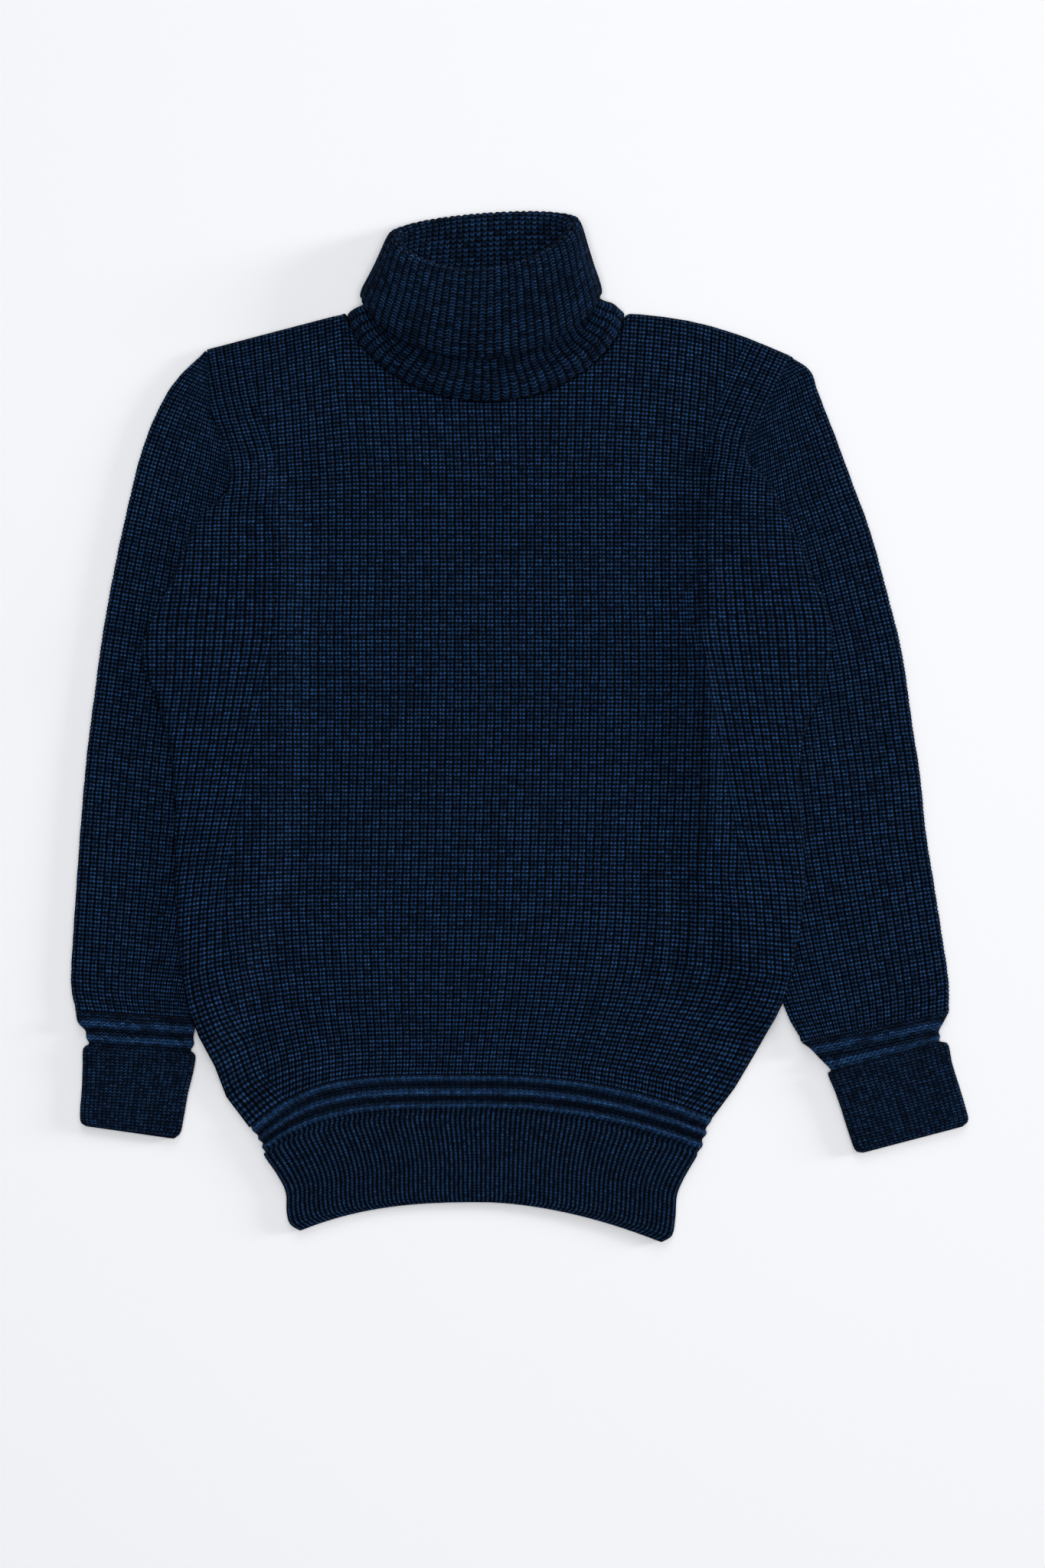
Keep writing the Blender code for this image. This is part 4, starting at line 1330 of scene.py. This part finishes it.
def inset_line(start: np.ndarray, end: np.ndarray, share: np.ndarray) -> np.ndarray:
    """Plan points between two edges of a tube, held in by the tube's own radius.

    Args:
        start: one edge, a point for each row.
        end: the other edge.
        share: rows by columns of places between them, or one row for all.

    Returns:
        Rows by columns of x and y.
    """
    length = np.linalg.norm(end - start, axis=1)
    trim = (MIDDLE / length)[:, None]
    place = mix(trim, 1.0 - trim, share)[..., None]
    return mix(start[:, None], end[:, None], place)


@dataclass
class SleeveRows:
    """The courses of a sleeve in plan, straight lines from the outer fold inwards."""

    inset: np.ndarray            # half width of the outer fold, less at the shoulder's tip
    start: np.ndarray            # middle of the outer fold
    way: np.ndarray              # unit direction inwards
    reach: np.ndarray            # distance to the middle of the inner fold
    limit: np.ndarray            # distance at which the armhole cuts the course off

    def cut_rows(self) -> int:
        """How many courses the armhole cuts off before their inner fold."""
        return int((self.limit < self.reach).sum())


@dataclass
class Sleeve(Tube):
    """A sleeve, from the armhole to the first welt of its cuff."""

    side: str = "left"
    form: Optional[BodyForm] = None
    outer_pitch: float = 6.1     # width of a wale at the outer edge, all the way down
    least_spread: float = 0.8
    most_spread: float = 1.6
    first_reach: float = 0.4     # the first course is at least this long
    seam_dip: float = 2.4        # how far the sleeve sinks where it meets the body
    dip_reach: float = 13.0
    fold_share: float = 0.45     # most of a short course that its outer fold takes up
    seam_level: float = 194.0    # below this the seam runs on under the body
    link_depth: float = 4.5      # how far from the seam the stitches are drawn flat
    passes: int = 12             # rounds of the search for where lines meet
    first_whole: float = 100.0   # where that search begins for the inner fold
    first_limit: float = 20.0    # and for the armhole

    TILT = Table(
        "y left right",
        (-219.0, 3.95, 11.9),
        (-148.0, 4.8, 10.0),
        (-89.0, 4.8, 6.0),
        (-31.0, 6.8, 5.0),
        (28.0, 8.0, 8.0),
        (98.0, 10.5, 13.5),
        (146.0, 13.0, 18.5),
        (205.0, 18.0, 21.0),
        (289.0, 24.0, 26.0),
    )

    def seam_x(self, y: np.ndarray) -> np.ndarray:
        """Where the armhole is: beside the panels, then on to the inner fold under them."""
        out = -1.0 if self.side == "left" else 1.0
        beside = self.form.edge_x(self.side, y) + out * ARMHOLE_GAP
        low = self.form.edge_x(self.side, np.array([self.seam_level]))[0] + out * ARMHOLE_GAP
        end_x, end_y = self.table.columns["inner_x"][0], self.table.columns["inner_y"][0]
        under = mix(end_x, low, np.clip((y - end_y) / (self.seam_level - end_y), 0.0, 1.0))
        return np.where(y > self.seam_level, beside, under)

    def rows(self, spacing: float) -> SleeveRows:
        """Lay out the courses.

        Args:
            spacing: distance between rows of points along the outer edge.

        Returns:
            The rows, from the shoulder's tip to the cuff.
        """
        places = np.linspace(0.0, self.table.last, PATH_POINTS)
        row = even_steps(self.table.point("outer", places), places, spacing)
        outer = self.table.point("outer", row)
        tilt = np.radians(self.TILT.at(self.side, outer[:, 1], "y"))
        inwards = 1.0 if self.side == "left" else -1.0
        way = np.stack([inwards * np.cos(tilt), -np.sin(tilt)], axis=1)
        whole = np.full(len(row), self.first_whole)
        limit = np.full(len(row), self.first_limit)
        first_inner = self.table.columns["inner_y"][0]
        for _ in range(self.passes):
            inner_y = outer[:, 1] + way[:, 1] * whole
            inner_x = self.table.at("inner_x", inner_y, "inner_y")
            whole = (inner_x - outer[:, 0]) / way[:, 0]
            seam_y = outer[:, 1] + way[:, 1] * limit
            limit = (self.seam_x(seam_y) - outer[:, 0]) / way[:, 0]
        cut = (outer[:, 1] + way[:, 1] * (whole - MIDDLE) > first_inner) & (limit < whole)
        inset = np.where(cut, np.minimum(MIDDLE, self.fold_share * limit), MIDDLE)
        start = outer + way * inset[:, None]
        reach = whole - inset - MIDDLE
        limit = np.where(cut, np.minimum(limit - inset, reach), reach)
        kept = limit >= self.first_reach
        return SleeveRows(inset[kept], start[kept], way[kept], reach[kept], limit[kept])

    def skin(self, rows: SleeveRows, columns: TubeColumns, radius: float
             ) -> tuple[np.ndarray, np.ndarray, np.ndarray]:
        """One face of the sleeve.

        Args:
            rows: the courses.
            columns: where the columns lie round the tube.
            radius: half the height of this face.

        Returns:
            The points, which of them the armhole cuts off, and how far each is from it.
        """
        width = rows.reach[:, None]
        first = self.outer_pitch * self.top_wales / width
        first = np.clip(first, self.least_spread, self.most_spread)
        share = columns.share[None, :]
        along = (first * share + (1.0 - first) * share ** 2) * width
        lost = along > rows.limit[:, None]
        from_seam = np.where(rows.limit[:, None] < width, rows.limit[:, None] - along, np.inf)
        along = np.minimum(along, rows.limit[:, None])
        out = radius * np.cos(columns.angle) * (columns.layer == 0)
        out = np.where(columns.share[None, :] < 0.5, -out * rows.inset[:, None] / MIDDLE, out)
        plan = rows.start[:, None] + rows.way[:, None] * (along + out)[..., None]
        height = MIDDLE + radius * np.sin(columns.angle)[None, :] + np.zeros_like(width)
        if radius == STACK / 2:
            sink = self.seam_dip * (1.0 - smooth(from_seam / self.dip_reach))
            height = height - sink * (columns.layer == 1)[None, :]
        points = np.concatenate([plan, height[..., None]], axis=2)
        return points, lost, np.maximum(from_seam, 0.0)

    def skin_ids(self, rows: SleeveRows, columns: TubeColumns, lost: np.ndarray
                 ) -> tuple[np.ndarray, np.ndarray]:
        """Number the points of a face, with one point for all that the armhole cuts off.

        Args:
            rows: the courses.
            columns: where the columns lie round the tube.
            lost: which points are cut off.

        Returns:
            The numbers, and the ring of them round the open end.
        """
        ids = np.arange(lost.size).reshape(lost.shape)
        cut = rows.cut_rows()
        upper = np.nonzero(columns.layer == 1)[0]
        lower = np.nonzero(columns.layer == -1)[0]
        fold = np.nonzero((columns.layer == 0) & (columns.share > 0.5))[0]
        outer_fold = np.nonzero((columns.layer == 0) & (columns.share < 0.5))[0]
        top_end, low_end = [], []
        for row in range(cut):
            top = ids[row, upper[lost[row, upper]][0]] if lost[row, upper].any() else ids[
                row, upper[-1]]
            low = ids[row, lower[lost[row, lower]][-1]] if lost[row, lower].any() else ids[
                row, lower[0]]
            ids[row, upper[lost[row, upper]]] = top
            ids[row, lower[lost[row, lower]]] = low
            ids[row, fold] = -1
            top_end.append(top)
            low_end.append(low)
        first_upper = ids[0, upper]
        first_lower = ids[0, lower]
        ring = np.concatenate([
            ids[0, outer_fold], first_upper, top_end, ids[cut, upper[-1]:lower[0] + 1],
            low_end[::-1], first_lower[first_lower != low_end[0]], ids[0, outer_fold[:1]]])
        return ids, distinct(ring.astype(int))

    def cut(self) -> Cut:
        """The sleeve's cut, all round: both layers in plan and the cloth round the folds."""
        rows = self.rows(self.coarse)
        outer = rows.start
        inner = rows.start + rows.way * rows.limit[:, None]
        folds = math.pi * STACK
        width = 2 * float(rows.limit.max()) + folds
        area = 2 * outline_area(np.concatenate([outer, inner[::-1]]))
        area += folds * (path_length(outer) + path_length(inner[rows.cut_rows():])) / 2
        return Cut(width, path_length(outer), area)

    def build(self) -> bpy.types.Object:
        """Make the sleeve: knit outside, plain inside, a rim at the armhole and the cuff."""
        columns = self.columns()
        shell = Shell()
        rings, ends, counts = [], [], []
        for radius, spacing in ((STACK / 2, self.knit.course / self.knit.along),
                                (LAYER_GAP / 2, self.coarse)):
            rows = self.rows(spacing)
            points, lost, from_seam = self.skin(rows, columns, radius)
            ups = run_lengths(rows.start) / self.knit.course
            wales, courses = np.meshgrid(columns.wales, ups)
            ids, ring = self.skin_ids(rows, columns, lost)
            if radius == STACK / 2:
                normals = surface_normals(points, True)
                middle = normals[len(ups) // 2:, :self.top_wales, 2]
                normals = normals * np.sign(np.median(middle))
                free = smooth(from_seam / self.link_depth)
                free = free * smooth((ups[-1] - courses) / self.end_courses)
                relief = self.knit.relief(wales, courses) * free
                points = points + normals * relief[..., None]
                points[..., 2] = np.maximum(points[..., 2], 0.0)
            first = shell.add_points(points)
            ids = np.where(ids >= 0, ids + first, -1)
            counts.append(np.stack([wales.ravel(), courses.ravel()], axis=1))
            ids = np.concatenate([ids, ids[:, :1]], axis=1)
            wide, tall = np.meshgrid(np.append(columns.wales, self.wales_round), ups)
            shell.add_quads(ids, wide, tall)
            rings.append(ring + first)
            ends.append(ids[-1])
        every = np.concatenate(counts)
        shell.zip_lines(rings[0], rings[1], every)
        shell.zip_lines(ends[0], ends[1], every)
        return shell.build(self.name + "_knit", self.finish.build())


@dataclass
class Cuff(Tube):
    """A cuff: rolled welts, then the turned band."""

    def line(self, row: np.ndarray, share: np.ndarray) -> np.ndarray:
        """Plan points of rows of the cuff."""
        outer, inner = self.table.point("outer", row), self.table.point("inner", row)
        return inset_line(outer, inner, share[None, :])


@dataclass
class HemBand(Tube):
    """The hem band: three rolled welts, then the plain band."""

    roll: float = 2.0

    @staticmethod
    def under_body(form: BodyForm, *bands: Sequence[float]) -> Table:
        """The band's rows, with a first one that follows the body's last course.

        Args:
            form: the body's outline.
            bands: the rows below that.

        Returns:
            The table.
        """
        low = {side: form.hem_end(side) for side in SIDES}
        ends = {side: float(form.edge_x(side, np.array([y]))[0]) for side, y in low.items()}
        first = (form.hem_level - HEM_GAP, ends["left"], low["left"] - HEM_GAP, ends["right"],
                 low["right"] - HEM_GAP, form.bend_left, form.bend_right, 0.0)
        names = "mid_y left_x left_y right_x right_y bend_left bend_right lift"
        return Table(names, first, *bands)

    def line(self, row: np.ndarray, share: np.ndarray) -> np.ndarray:
        """Plan points of rows, which bend down towards both sides."""
        left_x = self.table.at("left_x", row)[:, None]
        right_x = self.table.at("right_x", row)[:, None]
        trim = 2 * MIDDLE / (right_x - left_x)
        across = mix(-1.0 + trim, 1.0 - trim, share[None, :])
        x = mix(left_x, right_x, (across + 1) / 2)
        on_left = across < 0
        low = np.where(on_left, self.table.at("left_y", row)[:, None],
                       self.table.at("right_y", row)[:, None])
        bend = np.where(on_left, self.table.at("bend_left", row)[:, None],
                        self.table.at("bend_right", row)[:, None])
        y = mix(self.table.at("mid_y", row)[:, None], low, np.abs(across) ** bend)
        return np.stack([x, y], axis=2)


@dataclass
class Collar:
    """The ribbed collar: a stand that folds over at the top and turns down outside itself."""

    knit: Knit
    finish: Wool
    name: str = "collar"
    wall: float = 3.2
    rib_height: float = 0.8
    front_ribs: int = 33
    end_ribs: int = 2
    back_ribs: int = 27
    stand_shows: float = 2.6     # up to this ring the stand's outer face shows its ribs
    tilt: float = 0.0012
    neck_side: float = 317.5
    shape: float = 0.62
    back_shape: float = 0.4      # the back's ends are rounder
    ring_step: float = 0.05      # steps by which the cloth's direction is measured
    turn_step: float = 0.25
    path_points: int = 600       # points by which lengths up and round the collar are measured
    turn_points: int = 241
    cut_points: int = 120
    fine_past: float = 0.6       # the hidden face is fine up to this far past the stand's ribs
    plain_rows: int = 3          # courses from row to row beyond that
    shown_ramp: float = 0.8      # rings over which the shown face's ribs begin
    hidden_ramp: float = 0.5     # rings over which the hidden face's ribs end
    edge_ramp: float = 0.25      # rings from a free edge to the full thickness
    edge_drop: float = 0.5       # how much thinner each face is at the edge

    RINGS = Table(
        "half centre side front back front_z back_z",
        (105.5, -25.5, 316.5, 250.0, 296.0, 8.0, 1.7),
        (98.0, -25.0, 321.5, 260.0, 304.0, 12.4, 4.0),
        (84.5, -25.2, 328.0, 274.5, 314.0, 10.0, 6.8),
        (78.5, -25.8, 340.0, 294.0, 330.0, 13.6, 7.6),
        (72.5, -26.5, 354.0, 319.0, 352.0, 19.2, 8.3),
        (65.8, -26.5, 374.5, 341.5, 385.5, 20.8, 8.6),
        (69.3, -26.8, 381.5, 347.6, 392.2, 24.5, 5.3),
        (73.6, -27.0, 376.0, 342.0, 386.0, 28.1, 1.9),
        (81.2, -28.0, 356.0, 314.0, 356.0, 28.2, 1.7),
        (88.6, -29.0, 339.0, 291.5, 339.0, 25.0, 1.7),
        (91.2, -29.2, 331.5, 281.0, 331.5, 22.0, 1.7),
    )

    @property
    def ribs(self) -> int:
        """Ribs once round the collar."""
        return self.front_ribs + self.back_ribs + 2 * self.end_ribs

    @property
    def middles(self) -> tuple[float, float]:
        """Places round the ring of the middle of the front and of the back."""
        return (self.front_ribs / 2, self.front_ribs + self.end_ribs + self.back_ribs / 2)

    def points(self, step: np.ndarray, turn: np.ndarray) -> np.ndarray:
        """Middle of the collar's cloth.

        Args:
            step: ring numbers, one for each row.
            turn: place round the ring, rows by columns or one row for all.

        Returns:
            Rows by columns of points.
        """
        value = {name: self.RINGS.at(name, step)[:, None] for name in self.RINGS.columns}
        bend = (value["front_z"] - value["back_z"]) / 2
        flat = value["half"] - bend
        middle = (value["front_z"] + value["back_z"]) / 2
        turn = np.mod(np.atleast_2d(turn), self.ribs)
        at_right = self.front_ribs
        at_back = at_right + self.end_ribs
        at_left = at_back + self.back_ribs
        right_angle = np.pi * (0.5 - (turn - at_right) / self.end_ribs)
        left_angle = np.pi * (0.5 + (turn - at_left) / self.end_ribs)
        places = [turn < at_right, turn < at_back, turn < at_left]
        x = np.select(places, [flat * (2 * turn / self.front_ribs - 1),
                               flat + bend * np.cos(right_angle),
                               flat * (1 - 2 * (turn - at_back) / self.back_ribs)],
                      -flat + bend * np.cos(left_angle))
        whole = np.ones_like(turn)
        z = np.select(places, [value["front_z"] * whole, middle + bend * np.sin(right_angle),
                               value["back_z"] * whole], middle - bend * np.sin(left_angle))
        on_front = z >= middle
        depth = np.maximum(1.0 - (x / value["half"]) ** 2, 0.0)
        depth = depth ** np.where(on_front, self.shape, self.back_shape)
        reach = np.where(on_front, value["front"], value["back"])
        tilt = self.tilt * x * (value["side"] - self.neck_side)
        return np.stack([value["centre"] + x, mix(value["side"], reach, depth) + tilt, z], 2)

    def even_turns(self, step: np.ndarray, columns: int) -> np.ndarray:
        """Places round each ring that give ribs of even width, front and back in line.

        Args:
            step: ring numbers, one for each row.
            columns: number of points round the ring.

        Returns:
            Rows by columns of places.
        """
        front, back = self.middles
        halves = ((front, back), (back, self.ribs + front))
        shares = np.linspace(0.0, 1.0, columns // 2 + 1)
        turns = np.empty((len(step), columns))
        for half, (start, end) in enumerate(halves):
            dense = np.linspace(start, end, self.turn_points)
            path = self.points(step, dense)
            lengths = np.linalg.norm(np.diff(path, axis=1), axis=2)
            lengths = np.concatenate([np.zeros((len(step), 1)), np.cumsum(lengths, axis=1)], 1)
            for row, length in enumerate(lengths):
                places = np.interp(shares * length[-1], length, dense)
                turns[row, half * (columns // 2):(half + 1) * (columns // 2)] = places[:-1]
        return turns

    def normals(self, step: np.ndarray, turn: np.ndarray) -> np.ndarray:
        """Directions out of the stand's outer face."""
        low = np.maximum(step - self.ring_step, 0.0)
        high = np.minimum(step + self.ring_step, self.RINGS.last)
        up = self.points(high, turn) - self.points(low, turn)
        around = self.points(step, turn + self.turn_step) - self.points(step, turn - self.turn_step)
        normals = np.cross(around, up)
        return normals / np.linalg.norm(normals, axis=2, keepdims=True)

    def face(self, step: np.ndarray, turn: np.ndarray, way: float, relief: np.ndarray
             ) -> np.ndarray:
        """One face of the collar's wall.

        Args:
            step: ring numbers, one for each row.
            turn: place round the ring, rows by columns.
            way: -1 for the face that shows on the turned part, 1 for the other.
            relief: height over a full rib, rows by columns.

        Returns:
            Rows by columns of points.
        """
        reach = self.wall / 2 + self.rib_height + relief
        points = self.points(step, turn) + way * self.normals(step, turn) * reach[..., None]
        points[..., 2] = np.maximum(points[..., 2], 0.0)
        return points

    def cut(self) -> Cut:
        """The collar's cut: a straight tube of ribs, as long as its longest wale."""
        steps = np.linspace(0.0, self.RINGS.last, self.cut_points)
        wales = self.points(steps, np.array(self.middles))
        length = max(path_length(wales[:, column]) for column in (0, 1))
        width = self.ribs * self.knit.wale
        return Cut(width, length, width * length)

    def build(self) -> bpy.types.Object:
        """Make the collar, ribbed on what shows and plain behind it."""
        fine, plain = self.knit.course / self.knit.along, self.knit.course * self.plain_rows
        wales = np.arange(self.ribs * self.knit.across) / self.knit.across + 0.5
        places = np.linspace(0.0, self.RINGS.last, self.path_points)
        path = self.points(places, np.array(self.middles[:1]))[:, 0]
        shown = even_steps(path, places, fine)
        stand_part = places <= self.stand_shows + self.fine_past
        stand = even_steps(path[stand_part], places[stand_part], fine)
        rest = even_steps(path[~stand_part], places[~stand_part], plain)
        hidden = np.concatenate([stand, rest])
        courses = np.arange(len(shown)) / self.knit.along
        shown_ribs = smooth((shown - self.stand_shows + self.shown_ramp) / self.shown_ramp)
        hidden_ribs = 1.0 - smooth((hidden - self.stand_shows) / self.hidden_ramp)
        faces, counts = [], []
        for steps, way, ribbed in ((shown, -1.0, shown_ribs), (hidden, 1.0, hidden_ribs)):
            ups = np.interp(steps, shown, courses)
            wide, tall = np.meshgrid(wales, ups)
            full = self.knit.relief(wide, tall)
            flat = np.full_like(full, -self.rib_height)
            from_edge = np.minimum(steps, self.RINGS.last - steps)[:, None]
            edge = smooth(from_edge / self.edge_ramp)
            relief = mix(flat, full, ribbed[:, None]) - self.edge_drop * (1.0 - edge)
            faces.append(self.face(steps, self.even_turns(steps, len(wales)), way, relief))
            counts.append(ups)
        shell = Shell()
        shell.add_closed(np.concatenate([faces[0], faces[1][::-1]]),
                         np.append(wales, wales[0] + self.ribs),
                         np.concatenate([counts[0], counts[1][::-1], counts[0][:1]]))
        return shell.build(self.name + "_knit", self.finish.build())


SLEEVE_LEFT = Table(
    "outer_x outer_y inner_x inner_y",
    (-240.4, 289.3, -203.0, 137.0),
    (-261.8, 269.4, -200.5, 120.0),
    (-277.1, 245.9, -198.5, 102.0),
    (-291.2, 210.6, -197.5, 80.0),
    (-302.9, 163.5, -197.0, 48.0),
    (-312.9, 116.5, -197.5, 15.0),
    (-321.2, 69.4, -199.5, -20.0),
    (-327.6, 22.4, -203.0, -55.0),
    (-333.5, -24.7, -208.0, -90.0),
    (-337.6, -71.8, -214.0, -122.0),
    (-341.0, -118.8, -222.5, -152.0),
    (-344.1, -165.9, -232.0, -183.0),
    (-345.4, -199.0, -242.0, -210.0),
    (-341.5, -219.0, -247.5, -225.5),
)
SLEEVE_RIGHT = Table(
    "outer_x outer_y inner_x inner_y",
    (209.2, 284.2, 164.0, 137.0),
    (224.6, 273.4, 162.5, 120.0),
    (231.0, 256.0, 161.0, 102.0),
    (244.1, 222.4, 160.5, 80.0),
    (257.1, 187.1, 160.5, 50.0),
    (271.0, 149.0, 161.5, 18.0),
    (285.0, 98.0, 163.5, -15.0),
    (295.4, 55.0, 166.5, -48.0),
    (303.3, 0.0, 171.0, -80.0),
    (309.0, -37.0, 176.0, -108.0),
    (313.6, -82.0, 182.0, -138.0),
    (319.4, -118.8, 188.5, -165.0),
    (325.5, -158.0, 196.5, -195.0),
    (331.0, -196.0, 206.5, -224.0),
    (331.0, -219.0, 217.0, -243.0),
)
CUFF_LEFT = Table(
    "outer_x outer_y inner_x inner_y lift",
    (-341.2, -219.6, -247.8, -226.1, 0.0),
    (-339.5, -228.0, -249.5, -233.5, 1.3),
    (-333.8, -234.5, -250.5, -239.8, -0.8),
    (-333.0, -240.0, -250.2, -245.2, 1.3),
    (-331.0, -244.6, -252.5, -249.8, -1.0),
    (-335.6, -248.4, -248.9, -254.0, 0.8),
    (-336.0, -262.0, -250.6, -266.0, 0.2),
    (-336.7, -280.0, -254.8, -283.5, 0.0),
    (-338.0, -297.0, -258.0, -302.0, 0.0),
    (-337.2, -305.0, -260.5, -313.0, -0.3),
    (-333.5, -307.8, -265.5, -317.5, -1.0),
)
CUFF_RIGHT = Table(
    "outer_x outer_y inner_x inner_y lift",
    (330.9, -219.6, 217.4, -243.7, 0.0),
    (326.5, -228.0, 224.0, -248.3, 1.3),
    (323.0, -235.0, 229.5, -254.0, -0.8),
    (324.0, -239.0, 236.0, -260.5, 1.3),
    (323.5, -242.6, 240.0, -265.2, -1.0),
    (330.2, -245.0, 237.6, -268.2, 0.8),
    (333.2, -259.0, 243.2, -282.0, 0.2),
    (338.4, -276.0, 249.0, -299.0, 0.0),
    (343.8, -294.0, 254.4, -316.0, 0.0),
    (345.6, -303.5, 258.6, -326.5, -0.3),
    (341.5, -308.0, 264.0, -328.4, -1.0),
)
HEM = (
    (-270.8, -206.0, -313.0, 147.5, -305.0, 4.5, 2.2, 1.3),
    (-276.5, -202.0, -316.5, 144.0, -310.0, 4.5, 2.2, -1.35),
    (-282.4, -201.5, -319.0, 144.5, -314.0, 4.3, 2.2, 1.3),
    (-287.3, -198.0, -322.0, 141.0, -318.5, 4.2, 2.1, -1.35),
    (-291.8, -198.5, -325.0, 141.5, -323.0, 4.0, 2.1, 1.3),
    (-296.5, -196.0, -328.5, 137.5, -328.5, 3.8, 2.1, -0.3),
    (-303.0, -196.5, -331.5, 136.5, -332.0, 3.6, 2.0, 0.2),
    (-320.0, -186.5, -346.0, 127.5, -347.5, 3.2, 2.0, 0.2),
    (-337.0, -180.0, -359.0, 121.8, -361.0, 3.0, 1.9, 0.0),
    (-353.0, -179.2, -374.0, 120.5, -378.0, 2.8, 1.8, 0.0),
    (-363.0, -176.5, -383.5, 118.0, -392.0, 2.6, 1.8, -0.3),
    (-366.3, -169.0, -388.5, 110.0, -397.3, 2.6, 1.8, -1.0),
)


def declare(piece: bpy.types.Object, node: str, cut: Cut) -> None:
    """Tie a piece to its solid's body, hide the solid and log the piece's faces and cut.

    Args:
        piece: the piece.
        node: the solid that it stands for.
        cut: its flat size.
    """
    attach(piece, BODY)
    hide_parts(node)
    surface = sum(face.area for face in piece.data.polygons) / 2
    LOG.info("%s: %d faces, cut %.0f x %.0f mm, %.4f m2, cloth over cut %.2f", piece.name,
             len(piece.data.polygons), cut.width, cut.length, cut.square_metres,
             surface / cut.square_metres)


def main() -> None:
    """Build the studio and the sweater, from the floor up."""
    logging.basicConfig(level=logging.INFO, format="%(message)s")
    Studio().build()
    form = BodyForm()
    body_wool = Wool("wool_pearl_knit_body", Stitch.PEARL)
    sleeve_wool = Wool("wool_pearl_knit_sleeve", Stitch.PEARL)
    # The bands' welts get painted light and painted shade at the courses that welt_first and
    # welt_pitch give.
    band_wool = Wool("wool_fine_knit_band", Stitch.LEGS, wale_mm=FINE_KNIT.wale,
                     welt_rows=WELT_ROWS, welt_first=1.2, welt_pitch=4.5)
    cuff_wool = Wool("wool_fine_knit_cuff", Stitch.RIB, wale_mm=CUFF_KNIT.wale, scatter=0.6,
                     welt_rows=WELT_ROWS, welt_first=3.6, welt_pitch=5.1)
    collar_wool = Wool("wool_rib_collar", Stitch.RIB, wale_mm=COLLAR_RIB.wale, scatter=0.6)

    for side, table, pitch, level in (("left", SLEEVE_LEFT, 6.0, 194.0),
                                      ("right", SLEEVE_RIGHT, 6.5, 205.0)):
        name = "sleeve_" + side
        sleeve = Sleeve(name, PEARL_KNIT, sleeve_wool, SLEEVE_WALES, table, side=side,
                        form=form, outer_pitch=pitch, seam_level=level)
        declare(sleeve.build(), name, sleeve.cut())
    for name, table in (("cuff_left", CUFF_LEFT), ("cuff_right", CUFF_RIGHT)):
        cuff = Cuff(name, CUFF_KNIT, cuff_wool, CUFF_WALES, table, BAND_FOLD,
                    welt_rows=WELT_ROWS)
        declare(cuff.build(), name, cuff.cut())
    back = Panel("back", form, PLAIN_BACK, body_wool, form.neck_back, on_top=False)
    declare(back.build(), "back", back.cut())
    front = Panel("front", form, PEARL_KNIT, body_wool, form.neck_front, on_top=True)
    declare(front.build(), "front", front.cut())
    hem = HemBand("hem_band", FINE_KNIT, band_wool, HEM_WALES,
                  HemBand.under_body(form, *HEM), BAND_FOLD, welt_rows=WELT_ROWS)
    declare(hem.build(), "hem_band", hem.cut())
    collar = Collar(COLLAR_RIB, collar_wool)
    declare(collar.build(), "collar", collar.cut())


if __name__ == "__main__":
    main()
